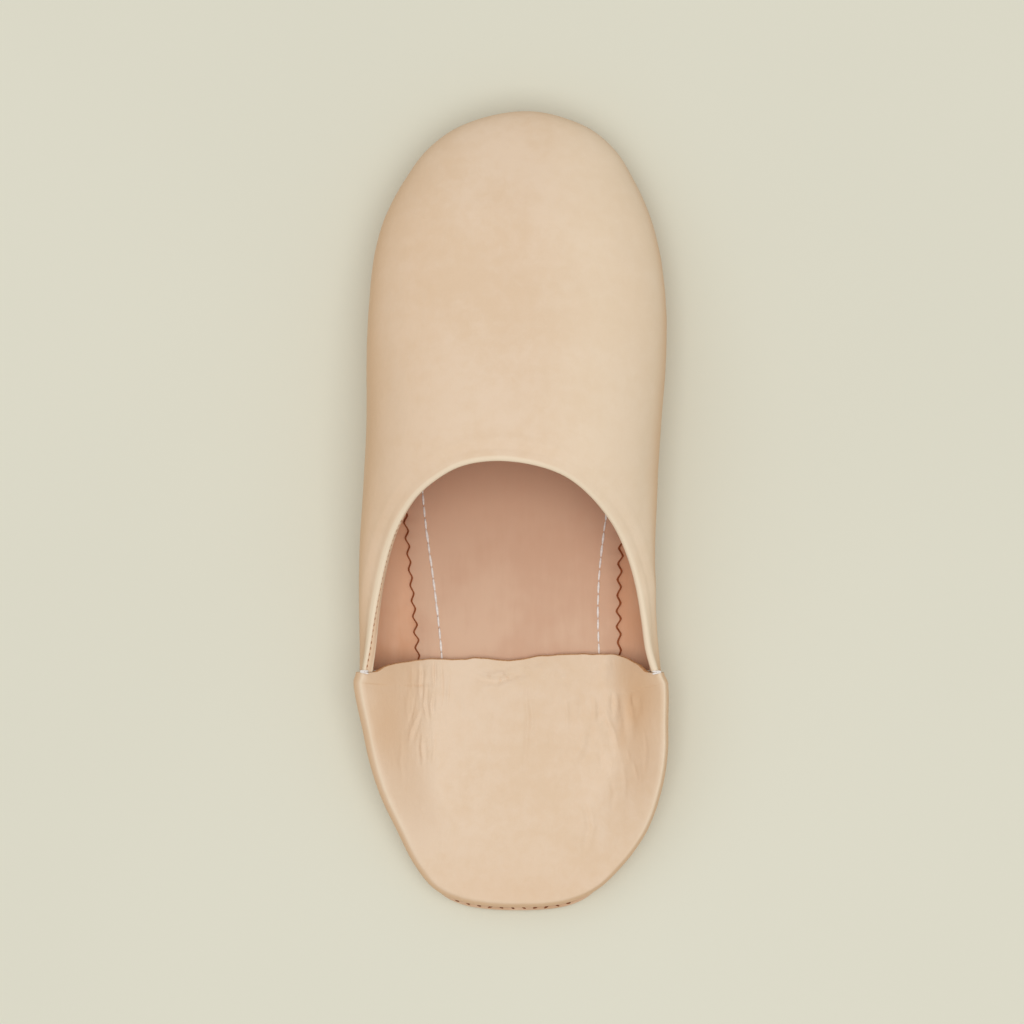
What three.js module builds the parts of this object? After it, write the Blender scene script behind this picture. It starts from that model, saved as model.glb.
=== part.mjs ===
// A babouche slipper for the left foot: soft leather on a flat leather sole, its heel back folded down.
// Lengths are in millimetres, +Z is up, the toe points along +Y and the outer side of the foot is -X.
// The pieces are the outsole, the insole, the pinked sock over it, the vamp and the folded heel back.
import * as THREE from "three";

// Driving sizes
const LENGTH = 255; // heel end to toe tip
const BALL_WIDTH = 95; // across the upper at the ball
const THROAT_HEIGHT = 50; // floor to the top of the throat
const EAR_HEIGHT = 24; // floor to the folded heel back, beside its two seams
const TOE_SPRING = 2.5; // rise of the toe tip off the floor
const SOLE_THICKNESS = 3.5;
const SOLE_LIP = 1; // sole beyond the foot of the wall, along the sides
const HEEL_LIP = 4.2; // and behind the heel, where its edge shows from above
const SOLE_TOP_BEVEL = 0.5;
const SOLE_BOTTOM_BEVEL = 0.9;
const INSOLE_THICKNESS = 2;
const SOCK_THICKNESS = 1.2;
const SOCK_INSET = 2.4; // from the foot of the wall to the middle of the sock's pinked edge
const PINK_PITCH = 4; // from one tooth of the pinked edge to the next
const PINK_DEPTH = 1;
const VAMP_WALL = 2; // outer leather and lining together
const BACK_WALL = 1.8;
const BEND = 1.2; // tightest inside radius that the leather is turned to
const TURN_IN = 4; // the upper's margin that lies on the sole
const COLLAR_BAND = 2.6; // width of the turned collar edge
const COLLAR_STEP = 0.4; // its height above the leather beside it, on each face
const COLLAR_ROUND = 0.6; // swell of its rounded rim
const EAR_PROUD = 2; // the heel back's ears stand out from the vamp by this
const EAR_LENGTH = 22; // and come back to the outline over this length
const FIT = 0.3; // clearance between pieces that touch
const INSOLE_GAP = 0.7; // from the insole's edge to the turned-in margin
const SEAM_EASE = 18; // the seams are square to the length, and the walls ease to that over this length
const SEAM_AT = 0.302; // where the side seams stand, as a share of the length from the heel
const SPRING_AT = 0.78; // ahead of this share of the length the toe springs off the floor
const NOSE_AT = 0.84; // and ahead of this share the toe rounds off
const HEEL_LIP_FADE = { from: 0.01, to: 0.06 }; // shares of the length over which the heel's lip fades
const CROSS_POWER = 2.6; // roundness of the vamp from side to side, where 2 is an ellipse
const CROWN_POWER = 2.2; // and of its sides and nose

// Facets
const OUTLINE_STEPS = 720;
const VAMP_RIBS = 62;
const VAMP_ROWS = 16;
const BACK_RIBS = 38;
const BACK_ROWS = { wall: 6, fold: 4, flap: 7 };
const VAMP_GRADING = 1.4; // above 1, the vamp's rows crowd towards the sole
const COLLAR_ROWS = [1, 0.5, 0]; // shares of the collar band, from its lower edge to its rim
const SOLE_STATIONS = 60;
const RIB_STEPS = 60;
const FOLD_STEPS = 240;

// The outline seen from above. at is a share of the length from the heel, outer and inner are the
// upper's reach to each side, and the tucks are how far the foot of the wall lies in from that
// reach, beyond the least bend. They are shares of half the ball width.
const OUTLINE = [
  { at: 0.005, outer: 0.0, inner: 0.0, tuckOuter: 0.0, tuckInner: 0.0 },
  { at: 0.0105, outer: 0.345, inner: 0.32, tuckOuter: 0.0, tuckInner: 0.0 },
  { at: 0.0265, outer: 0.55, inner: 0.525, tuckOuter: 0.01, tuckInner: 0.01 },
  { at: 0.058, outer: 0.69, inner: 0.705, tuckOuter: 0.04, tuckInner: 0.04 },
  { at: 0.1, outer: 0.8, inner: 0.865, tuckOuter: 0.1, tuckInner: 0.1 },
  { at: 0.15, outer: 0.92, inner: 0.965, tuckOuter: 0.17, tuckInner: 0.15 },
  { at: 0.21, outer: 1.007, inner: 1.016, tuckOuter: 0.24, tuckInner: 0.19 },
  { at: 0.26, outer: 1.038, inner: 0.996, tuckOuter: 0.265, tuckInner: 0.18 },
  { at: 0.31, outer: 1.046, inner: 0.961, tuckOuter: 0.265, tuckInner: 0.16 },
  { at: 0.38, outer: 1.049, inner: 0.931, tuckOuter: 0.237, tuckInner: 0.14 },
  { at: 0.46, outer: 1.042, inner: 0.93, tuckOuter: 0.19, tuckInner: 0.12 },
  { at: 0.54, outer: 1.018, inner: 0.95, tuckOuter: 0.135, tuckInner: 0.1 },
  { at: 0.615, outer: 1.0, inner: 0.974, tuckOuter: 0.09, tuckInner: 0.08 },
  { at: 0.69, outer: 1.0, inner: 1.0, tuckOuter: 0.07, tuckInner: 0.07 },
  { at: 0.76, outer: 0.988, inner: 0.998, tuckOuter: 0.06, tuckInner: 0.06 },
  { at: 0.82, outer: 0.953, inner: 0.962, tuckOuter: 0.05, tuckInner: 0.05 },
  { at: 0.87, outer: 0.872, inner: 0.892, tuckOuter: 0.04, tuckInner: 0.04 },
  { at: 0.915, outer: 0.745, inner: 0.78, tuckOuter: 0.03, tuckInner: 0.03 },
  { at: 0.953, outer: 0.595, inner: 0.65, tuckOuter: 0.025, tuckInner: 0.025 },
  { at: 0.983, outer: 0.36, inner: 0.44, tuckOuter: 0.02, tuckInner: 0.02 },
  { at: 1.0, outer: -0.06, inner: 0.06, tuckOuter: 0.02, tuckInner: 0.02 },
];

// The vamp's height. widest is where its wall stands straight up, a share of the ears' height, and
// crown is the middle of its top, a share of the throat's, which behind the throat only shapes the sides.
const VAMP = [
  { at: 0.28, widest: 0.88, crown: 0.55 },
  { at: 0.33, widest: 0.87, crown: 0.585 },
  { at: 0.38, widest: 0.83, crown: 0.64 },
  { at: 0.44, widest: 0.77, crown: 0.735 },
  { at: 0.5, widest: 0.72, crown: 0.88 },
  { at: 0.54, widest: 0.7, crown: 0.965 },
  { at: 0.57, widest: 0.68, crown: 1.0 },
  { at: 0.62, widest: 0.66, crown: 0.97 },
  { at: 0.7, widest: 0.63, crown: 0.88 },
  { at: 0.78, widest: 0.58, crown: 0.785 },
  { at: 0.86, widest: 0.48, crown: 0.685 },
  { at: 0.93, widest: 0.4, crown: 0.59 },
  { at: 1.0, widest: 0.35, crown: 0.5 },
];

// The collar's line seen from above, from the side seams to the throat, as in OUTLINE.
const COLLAR = [
  { at: 0.22, outer: 1.0, inner: 0.995 },
  { at: 0.26, outer: 1.02, inner: 0.98 },
  { at: 0.298, outer: 1.015, inner: 0.955 },
  { at: 0.33, outer: 0.986, inner: 0.906 },
  { at: 0.37, outer: 0.952, inner: 0.873 },
  { at: 0.41, outer: 0.908, inner: 0.832 },
  { at: 0.45, outer: 0.851, inner: 0.768 },
  { at: 0.485, outer: 0.775, inner: 0.68 },
  { at: 0.52, outer: 0.65, inner: 0.535 },
  { at: 0.545, outer: 0.485, inner: 0.37 },
  { at: 0.56, outer: 0.32, inner: 0.16 },
  { at: 0.566, outer: 0.1, inner: -0.06 },
];

// The fold of the heel back: how far its top stands above the flap, a share of that height at the
// ears. at is as in OUTLINE.
const FOLD = [
  { at: 0.005, height: 0.05 },
  { at: 0.025, height: 0.08 },
  { at: 0.056, height: 0.17 },
  { at: 0.1, height: 0.36 },
  { at: 0.15, height: 0.57 },
  { at: 0.21, height: 0.78 },
  { at: 0.26, height: 0.92 },
  { at: 0.298, height: 1.0 },
];

// The flap's free edge seen from above, from the outer ear to the inner ear. across is a share of half
// the ball width, and ahead is how far it lies ahead of the seams, a share of the length.
const FLAP_EDGE = [
  { across: -0.945, ahead: 0.0 },
  { across: -0.895, ahead: 0.0045 },
  { across: -0.82, ahead: 0.009 },
  { across: -0.657, ahead: 0.0125 },
  { across: -0.35, ahead: 0.015 },
  { across: -0.04, ahead: 0.014 },
  { across: 0.27, ahead: 0.019 },
  { across: 0.58, ahead: 0.0215 },
  { across: 0.705, ahead: 0.018 },
  { across: 0.79, ahead: 0.011 },
  { across: 0.845, ahead: 0.005 },
  { across: 0.885, ahead: 0.0 },
];

// Heights and lengths that follow from the sizes
const HALF_BALL = BALL_WIDTH / 2;
const MARGIN_BOTTOM = SOLE_THICKNESS + FIT;
const SOCK_BOTTOM = MARGIN_BOTTOM + Math.max(VAMP_WALL, BACK_WALL, INSOLE_THICKNESS) + FIT;
const FLAP_TOP = SOCK_BOTTOM + SOCK_THICKNESS + FIT + BACK_WALL;
const FOLD_RADIUS = BACK_WALL + BEND;
const LEAST_TUCK = Math.max(VAMP_WALL, BACK_WALL) + BEND - FIT;
const SEAM_Y = SEAM_AT * LENGTH;

// A column of a table at a share of the length, on a smooth line through its rows.
function read(table, column, at) {
  const last = table.length - 1;
  const place = THREE.MathUtils.clamp(at, table[0].at, table[last].at);
  let i = 0;
  while (i < last - 1 && table[i + 1].at < place) i++;
  const slope = (j) => {
    const before = table[Math.max(j - 1, 0)];
    const after = table[Math.min(j + 1, last)];
    return (after[column] - before[column]) / (after.at - before.at);
  };
  const span = table[i + 1].at - table[i].at;
  const t = (place - table[i].at) / span;
  const rise = table[i + 1][column] - table[i][column];
  const a = slope(i) * span - rise;
  const b = rise - slope(i + 1) * span;
  return table[i][column] + t * rise + t * (1 - t) * ((1 - t) * a + t * b);
}

// A smooth line of points through the corners of an outline, closed or open.
function trace(corners, closed) {
  const curve = new THREE.CatmullRomCurve3(corners, closed, "centripetal");
  curve.arcLengthDivisions = 2 * OUTLINE_STEPS;
  return curve.getSpacedPoints(OUTLINE_STEPS);
}

// The two sides of a table of reaches as corners, up the outer side and down the inner one.
function corners(table) {
  const side = (column, sign) =>
    table.map((row) => new THREE.Vector3(sign * row[column] * HALF_BALL, row.at * LENGTH, 0));
  return [...side("outer", -1), ...side("inner", 1).reverse().slice(1)];
}

// The upper's outline as a closed line from the heel end, up the outer side to the toe and back.
const outline = trace(corners(OUTLINE).slice(0, -1), true);
const stepLength = outline[1].distanceTo(outline[0]);
const toeStep = outline.reduce((best, point, i) => (point.y > outline[best].y ? i : best), 0);

// The point on a line of points at a fractional step, which may run past the ends of a closed line.
function along(line, step) {
  const count = line.length - 1;
  const place = THREE.MathUtils.euclideanModulo(step, count);
  const i = Math.floor(place);
  return line[i].clone().lerp(line[i + 1], place - i);
}

// The outward direction of the outline at a step, which is straight across at the side seams.
function outward(step) {
  const ahead = along(outline, step + 1).sub(along(outline, step - 1));
  const normal = new THREE.Vector3(-ahead.y, ahead.x, 0).normalize();
  const across = new THREE.Vector3(Math.sign(normal.x), 0, 0);
  const fromSeam = Math.abs(along(outline, step).y - SEAM_Y);
  const ease = 1 - THREE.MathUtils.smoothstep(fromSeam, 0, SEAM_EASE);
  return normal.lerp(across, ease).normalize();
}

// The step, between two others, at which the outline passes a place along the length.
function stepAt(y, from, to) {
  const sign = Math.sign(along(outline, to).y - y);
  let [low, high] = [from, to];
  while (Math.abs(high - low) > 1e-9) {
    const middle = (low + high) / 2;
    if (Math.sign(along(outline, middle).y - y) === sign) high = middle;
    else low = middle;
  }
  return (low + high) / 2;
}

// The vamp's two ends and the heel back's, which stand a clearance apart at the seams.
const outerSide = (y) => stepAt(y, 0, toeStep);
const innerSide = (y) => stepAt(y, OUTLINE_STEPS, toeStep);
const vampEnds = [outerSide(SEAM_Y + FIT / 2), innerSide(SEAM_Y + FIT / 2)];
const backEnds = [outerSide(SEAM_Y - FIT / 2), innerSide(SEAM_Y - FIT / 2) - OUTLINE_STEPS];

// How far the foot of the wall lies in from the outline at a step.
function tuck(step) {
  const place = THREE.MathUtils.euclideanModulo(step, OUTLINE_STEPS);
  const column = place < toeStep ? "tuckOuter" : "tuckInner";
  const share = read(OUTLINE, column, along(outline, step).y / LENGTH);
  return LEAST_TUCK + share * HALF_BALL;
}

// The foot of the wall at a step, moved in or out by a distance.
function wallFoot(step, out = 0) {
  return along(outline, step).addScaledVector(outward(step), out - tuck(step));
}

// The toe spring lifts whatever lies ahead of the flat tread.
function lift(y) {
  const t = Math.max((y / LENGTH - SPRING_AT) / (1 - SPRING_AT), 0);
  return TOE_SPRING * t * t;
}

// The height at which the vamp's wall stands straight up.
function widestHeight(y) {
  return MARGIN_BOTTOM + read(VAMP, "widest", y / LENGTH) * (EAR_HEIGHT - MARGIN_BOTTOM);
}

// The vamp's top seen as a height above each point inside its outline.
function vampHeight(point) {
  const at = point.y / LENGTH;
  const left = along(outline, outerSide(point.y)).x;
  const right = along(outline, innerSide(point.y)).x;
  const across = Math.min(Math.abs((2 * point.x - left - right) / (right - left)), 1);
  const nose = THREE.MathUtils.clamp((at - NOSE_AT) / (1 - NOSE_AT), 0, 1);
  const round = (share, power) => (1 - share ** power) ** (1 / CROWN_POWER);
  const base = widestHeight(point.y);
  const crown = read(VAMP, "crown", at) * THROAT_HEIGHT - base;
  return base + crown * round(nose, CROWN_POWER) * round(across, CROSS_POWER);
}

// The line of the heel back's fold seen from above, a little proud of the outline at the two ears.
function foldPoint(step) {
  const fromSeam = Math.min(backEnds[0] - step, step - backEnds[1]) * stepLength;
  const ear = 1 - THREE.MathUtils.smoothstep(fromSeam, 0, EAR_LENGTH);
  return along(outline, step).addScaledVector(outward(step), EAR_PROUD * ear);
}

function foldTop(y) {
  return FLAP_TOP + read(FOLD, "height", y / LENGTH) * (EAR_HEIGHT - FLAP_TOP);
}

const foldLine = Array.from({ length: FOLD_STEPS + 1 }, (_, i) => {
  const step = THREE.MathUtils.lerp(...backEnds, i / FOLD_STEPS);
  const point = foldPoint(step);
  return { point, top: foldTop(point.y), valley: tuck(step) + SOCK_INSET };
});

// The folded heel back's top as a height above each point: it turns over the fold, falls beside the
// insole and lies flat on the sock.
function flapHeight(point) {
  let distance = Infinity;
  let top = 0;
  let valley = 0;
  for (let i = 1; i < foldLine.length; i++) {
    const [from, to] = [foldLine[i - 1], foldLine[i]];
    const stretch = to.point.clone().sub(from.point);
    const share = point.clone().sub(from.point).dot(stretch) / stretch.lengthSq();
    const t = THREE.MathUtils.clamp(share, 0, 1);
    const gap = from.point.clone().addScaledVector(stretch, t).distanceTo(point);
    if (gap > distance) continue;
    distance = gap;
    top = THREE.MathUtils.lerp(from.top, to.top, t);
    valley = THREE.MathUtils.lerp(from.valley, to.valley, t);
  }
  if (distance < FOLD_RADIUS) {
    const over = FOLD_RADIUS - distance;
    return top - FOLD_RADIUS + Math.sqrt(FOLD_RADIUS ** 2 - over ** 2);
  }
  const fall = THREE.MathUtils.smoothstep(distance, FOLD_RADIUS, valley);
  return THREE.MathUtils.lerp(top, FLAP_TOP, fall);
}

// One rib of the upper's outer face in three stretches: the margin on the sole, the wall from its foot
// up to the widest point, and the top from there to its end.
function rib(step, widest, widestZ, end, heightOver) {
  const foot = wallFoot(step).setZ(MARGIN_BOTTOM);
  const stretch = (count, place) => Array.from({ length: count + 1 }, (_, i) => place(i / count));
  const wall = stretch(RIB_STEPS, (t) => {
    const turn = (t * Math.PI) / 2;
    const z = MARGIN_BOTTOM + (widestZ - MARGIN_BOTTOM) * (1 - Math.cos(turn));
    return foot.clone().lerp(widest, Math.sin(turn)).setZ(z);
  });
  const top = stretch(2 * RIB_STEPS, (t) => {
    const point = widest.clone().lerp(end, t * t);
    return point.setZ(heightOver(point));
  });
  const margin = [wallFoot(step, -TURN_IN).setZ(MARGIN_BOTTOM), foot];
  for (const point of [...margin, ...wall, ...top]) point.z += lift(point.y);
  return { margin, wall, top };
}

// Points on a line at the lengths along it that a function of its whole length gives.
function pick(points, lengths) {
  const sums = [0];
  for (let i = 1; i < points.length; i++) sums.push(sums[i - 1] + points[i].distanceTo(points[i - 1]));
  let i = 1;
  return lengths(sums[sums.length - 1]).map((length) => {
    while (i < points.length - 1 && sums[i] < length) i++;
    const t = (length - sums[i - 1]) / (sums[i] - sums[i - 1] || 1);
    return points[i - 1].clone().lerp(points[i], THREE.MathUtils.clamp(t, 0, 1));
  });
}

// A length divided into rows, which grow along it with a grading above 1.
function divisions(length, rows, grading = 1) {
  return Array.from({ length: rows }, (_, i) => length * ((i + 1) / rows) ** grading);
}

function divide(points, rows) {
  return pick(points, (total) => divisions(total, rows));
}

// The unit normals of a grid of points, pointing to the right of the ribs as they climb.
function gridNormals(grid) {
  const at = (list, i) => list[THREE.MathUtils.clamp(i, 0, list.length - 1)];
  return grid.map((line, u) =>
    line.map((_, w) => {
      const side = at(grid, u + 1)[w].clone().sub(at(grid, u - 1)[w]);
      const up = at(line, w + 1).clone().sub(at(line, w - 1));
      return up.cross(side).normalize();
    }),
  );
}

// A closed solid from a grid that is one of its faces: the other face lies a wall's thickness inside.
// Its two ends are flat across, and its last rows may be a band that stands proud on both faces.
function shell(grid, wall, bandRows) {
  const normals = gridNormals(grid);
  for (const normal of [...normals[0], ...normals[grid.length - 1]]) normal.setY(0).normalize();
  const rows = grid[0].length;
  const raised = (w) => (w >= rows - bandRows ? COLLAR_STEP : 0);
  const lines = grid.map((line, u) => {
    const outer = line.map((p, w) => p.clone().addScaledVector(normals[u][w], raised(w)));
    const inner = line.map((p, w) => p.clone().addScaledVector(normals[u][w], -wall - raised(w)));
    const rim = [];
    if (bandRows) {
      const onward = line[rows - 1].clone().sub(line[rows - 2]).normalize();
      const middle = outer[rows - 1].clone().lerp(inner[rows - 1], 0.5);
      rim.push(middle.addScaledVector(onward, COLLAR_ROUND));
    }
    return [...outer, ...rim, ...inner.reverse()];
  });
  const size = lines[0].length;
  return stack(lines, (i) => size - 1 - i);
}

// A closed solid from rings of points that follow each other. The first and last rings are closed by
// rungs between each point and its mate on the other side.
function stack(rings, mate) {
  const size = rings[0].length;
  const index = [];
  for (let k = 0; k < rings.length - 1; k++) {
    for (let i = 0; i < size; i++) {
      const [a, b] = [k * size + i, k * size + ((i + 1) % size)];
      index.push(a, b, a + size, b, b + size, a + size);
    }
  }
  const lastRing = (rings.length - 1) * size;
  for (let i = 0; mate(i) > i || i === 0; i++) {
    const [a, b, c, d] = [i, i + 1, mate(i + 1), mate(i)];
    for (const [p, q, r] of [[a, d, b], [b, d, c]]) {
      if (p === q || q === r || r === p) continue;
      index.push(p, q, r);
      index.push(lastRing + r, lastRing + q, lastRing + p);
    }
  }
  const geometry = new THREE.BufferGeometry().setFromPoints(rings.flat());
  geometry.setIndex(index);
  geometry.computeVertexNormals();
  return geometry;
}

// A flat piece cut to the sole's shape, as levels from the top down. out is the distance that a
// level's edge stands out from the foot of the wall at a station, which has a step of the outline.
function plate(stations, levels) {
  const size = 2 * stations;
  const rings = levels.map(({ z, out }) =>
    Array.from({ length: size }, (_, i) => {
      const step =
        i <= stations
          ? THREE.MathUtils.mapLinear(i, 0, stations, 0, toeStep)
          : THREE.MathUtils.mapLinear(i, stations, size, toeStep, OUTLINE_STEPS);
      const point = wallFoot(step, out(step, i));
      return point.setZ(z + lift(point.y));
    }),
  );
  return stack(rings, (i) => (size - i) % size);
}

function makeOutsole() {
  const edge = (inset) => (step) => {
    const { from, to } = HEEL_LIP_FADE;
    const fade = THREE.MathUtils.smoothstep(along(outline, step).y / LENGTH, from, to);
    return THREE.MathUtils.lerp(HEEL_LIP, SOLE_LIP, fade) - inset;
  };
  return plate(SOLE_STATIONS, [
    { z: SOLE_THICKNESS, out: edge(SOLE_TOP_BEVEL) },
    { z: SOLE_THICKNESS - SOLE_TOP_BEVEL, out: edge(0) },
    { z: SOLE_BOTTOM_BEVEL, out: edge(0) },
    { z: 0, out: edge(SOLE_BOTTOM_BEVEL) },
  ]);
}

function makeInsole() {
  const edge = () => -TURN_IN - INSOLE_GAP;
  return plate(SOLE_STATIONS, [
    { z: MARGIN_BOTTOM + INSOLE_THICKNESS, out: edge },
    { z: MARGIN_BOTTOM, out: edge },
  ]);
}

// The sock lies over the insole and the upper's margin, and its edge is cut in teeth.
function makeSock() {
  const teeth = Math.round((OUTLINE_STEPS * stepLength) / PINK_PITCH / 2);
  const edge = (_, i) => -SOCK_INSET + (i % 2 ? PINK_DEPTH / 2 : -PINK_DEPTH / 2);
  return plate(2 * teeth, [
    { z: SOCK_BOTTOM + SOCK_THICKNESS, out: edge },
    { z: SOCK_BOTTOM, out: edge },
  ]);
}

// Where a line from a centre to a point of the outline crosses the collar.
function crossing(collar, centre, point) {
  const ray = point.clone().sub(centre);
  const side = (p) => ray.x * (p.y - centre.y) - ray.y * (p.x - centre.x);
  for (let i = 1; i < collar.length; i++) {
    const [from, to] = [side(collar[i - 1]), side(collar[i])];
    const found = collar[i - 1].clone().lerp(collar[i], from / (from - to));
    if (from * to <= 0 && from !== to && found.clone().sub(centre).dot(ray) > 0) return found;
  }
  return point;
}

// The vamp's ribs run up the walls and over the foot to the collar, fanned out from between the seams.
function makeVamp() {
  const [outerEnd, innerEnd] = vampEnds.map((step) => along(outline, step));
  const centre = outerEnd.lerp(innerEnd, 0.5);
  const collar = trace(corners(COLLAR), false);
  const grid = Array.from({ length: VAMP_RIBS + 1 }, (_, i) => {
    const step = THREE.MathUtils.lerp(...vampEnds, i / VAMP_RIBS);
    const widest = along(outline, step);
    const end = crossing(collar, centre, widest);
    const { margin, wall, top } = rib(step, widest, widestHeight(widest.y), end, vampHeight);
    const rows = pick([...wall, ...top], (total) => [
      ...divisions(total - COLLAR_BAND - COLLAR_STEP, VAMP_ROWS, VAMP_GRADING),
      ...COLLAR_ROWS.map((share) => total - share * COLLAR_BAND),
    ]);
    return [...margin, ...rows];
  });
  return shell(grid, VAMP_WALL, COLLAR_ROWS.length);
}

// The heel back's ribs run up the walls, over the fold and down the flap to its free edge.
function makeHeelBack() {
  const flapEdge = trace(
    FLAP_EDGE.map(({ across, ahead }) => {
      const y = SEAM_Y - FIT / 2 + ahead * LENGTH;
      return new THREE.Vector3(across * HALF_BALL, y, 0);
    }),
    false,
  );
  const grid = Array.from({ length: BACK_RIBS + 1 }, (_, i) => {
    const share = i / BACK_RIBS;
    const step = THREE.MathUtils.lerp(...backEnds, share);
    const widest = foldPoint(step);
    const end = pick(flapEdge, (total) => [share * total])[0];
    const { margin, wall, top } = rib(step, widest, foldTop(widest.y) - FOLD_RADIUS, end, flapHeight);
    const crest = top.reduce((best, point, k) => (point.z > top[best].z ? k : best), 0);
    const fold = divide(top.slice(0, crest + 1), BACK_ROWS.fold);
    const flap = divide(top.slice(crest), BACK_ROWS.flap);
    return [...margin, ...divide(wall, BACK_ROWS.wall), ...fold, ...flap];
  }).reverse();
  return shell(grid, BACK_WALL, 0);
}

function leather(name, geometry, color, roughness) {
  const material = new THREE.MeshStandardMaterial({ color, roughness, metalness: 0 });
  const mesh = new THREE.Mesh(geometry, material);
  mesh.name = name;
  return mesh;
}

// The slipper stands on the floor, centred over the origin.
const slipper = new THREE.Group();
slipper.add(
  leather("outsole", makeOutsole(), 0xc79c6f, 0.7),
  leather("insole", makeInsole(), 0xb98d6c, 0.9),
  leather("sock", makeSock(), 0xc79a80, 0.6),
  leather("upper_vamp", makeVamp(), 0xe0c2a0, 0.5),
  leather("upper_back", makeHeelBack(), 0xe0c2a0, 0.5),
);
const size = new THREE.Box3().setFromObject(slipper);
slipper.position.set(-(size.min.x + size.max.x) / 2, -(size.min.y + size.max.y) / 2, -size.min.z);

const part = new THREE.Group();
part.add(slipper);
export default part;
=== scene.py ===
# %% [markdown]
# # A babouche slipper, left foot
#
# This lesson dresses a imported CAD model of a soft leather slipper. The CAD gives the frame: where
# every piece lies and how large it is. Blender gives the leather its creases, its turned edges,
# its stitches and its colour. First the frame is loaded.

import math

import bpy
import numpy as np
from mathutils import Matrix, Vector


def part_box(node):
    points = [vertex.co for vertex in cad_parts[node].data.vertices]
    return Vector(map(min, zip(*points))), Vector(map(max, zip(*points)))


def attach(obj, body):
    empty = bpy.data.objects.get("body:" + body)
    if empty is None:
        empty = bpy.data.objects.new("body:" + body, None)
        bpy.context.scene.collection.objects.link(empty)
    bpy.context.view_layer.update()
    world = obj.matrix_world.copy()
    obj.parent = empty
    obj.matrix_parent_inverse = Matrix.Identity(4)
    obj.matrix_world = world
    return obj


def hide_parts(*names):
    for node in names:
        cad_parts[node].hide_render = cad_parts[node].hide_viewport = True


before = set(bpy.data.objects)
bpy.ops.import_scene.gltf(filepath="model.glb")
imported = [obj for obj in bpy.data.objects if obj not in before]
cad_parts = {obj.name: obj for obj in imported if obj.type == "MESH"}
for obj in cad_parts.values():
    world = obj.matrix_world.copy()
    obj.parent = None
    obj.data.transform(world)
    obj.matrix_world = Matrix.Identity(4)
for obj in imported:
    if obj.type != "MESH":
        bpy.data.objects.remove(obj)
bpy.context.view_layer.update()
print("nodes:", sorted(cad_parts))

# %% [markdown]
# ## The camera
#
# The photograph looks down on a pair from about 1.4 metres, and this slipper lies a little to the
# left of the middle. The camera stands at that place beside this one slipper and turns to look at
# its middle, so that the view keeps its angle and the slipper fills the picture.

# %% The camera
CAMERA_AT = Vector((0.0645, -0.0007, 1.4))
CAMERA_AIM = Vector((0.0, 0.0, 0.012))
SEEN_AT_AIM = 0.326  # metres from the left edge of the picture to the right one


def look(position, aim, up):
    """The matrix of a camera at a position that looks at a point, with a direction as its up."""
    back = (position - aim).normalized()
    right = up.cross(back).normalized()
    matrix = Matrix((right, back.cross(right), back)).transposed().to_4x4()
    matrix.translation = position
    return matrix


lens = bpy.data.cameras.new("Camera")
lens.sensor_fit = "HORIZONTAL"
lens.angle = 2 * math.atan(SEEN_AT_AIM / 2 / (CAMERA_AT - CAMERA_AIM).length)
camera = bpy.data.objects.new("Camera", lens)
camera.matrix_world = look(CAMERA_AT, CAMERA_AIM, Vector((0.0, 1.0, 0.0)))
bpy.context.scene.collection.objects.link(camera)
bpy.context.scene.camera = camera
print("angle of view:", round(math.degrees(lens.angle), 2), "degrees")

# %% [markdown]
# ## Floor and light
#
# The floor is a pale, slightly green paper. The light is a large soft source overhead, a little
# to the right and towards the heel, and the world fills the shadows. Large sources are made with
# area lights, because the size of an area light sets how soft its shadow is. The Standard view
# keeps pale colours as they are, where a film-like one would grey them.


# %% Colours by their screen values
def screen(red, green, blue):
    """A colour measured on a screen, from 0 to 255, as the linear values that shaders use."""

    def linear(value):
        share = value / 255
        return share / 12.92 if share <= 0.04045 else ((share + 0.055) / 1.055) ** 2.4

    return (linear(red), linear(green), linear(blue), 1.0)


bpy.context.scene.view_settings.view_transform = "Standard"

# %% Lights
world = bpy.data.worlds.new("Room")
world.use_nodes = True
world.node_tree.nodes["Background"].inputs["Color"].default_value = (1.0, 0.985, 0.95, 1.0)
world.node_tree.nodes["Background"].inputs["Strength"].default_value = 0.5
bpy.context.scene.world = world


def area_light(name, position, size, power, color):
    """A square soft light that looks at the slipper."""
    data = bpy.data.lights.new(name, "AREA")
    data.size = size
    data.energy = power
    data.color = color
    light = bpy.data.objects.new(name, data)
    light.matrix_world = look(Vector(position), Vector((0.0, 0.0, 0.0)), Vector((0.0, 1.0, 0.0)))
    bpy.context.scene.collection.objects.link(light)
    return light


area_light("Overhead", (0.22, -0.2, 1.9), 1.7, 18.6, (1.0, 0.984, 0.957))
area_light("Fill", (-0.9, 0.7, 1.6), 1.6, 4.0, (1.0, 0.99, 0.97))

# %% [markdown]
# ## A way to write materials
#
# A material is a small sum over textures. Written with bare nodes, each sum takes many lines, so a
# wrapped socket here understands `+`, `-` and `*`, also with a number on the left. Any other node
# comes from one method that takes its type, its settings and the values or links of its sockets.
# The same wrapper writes the trees of Geometry Nodes further on.


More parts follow.
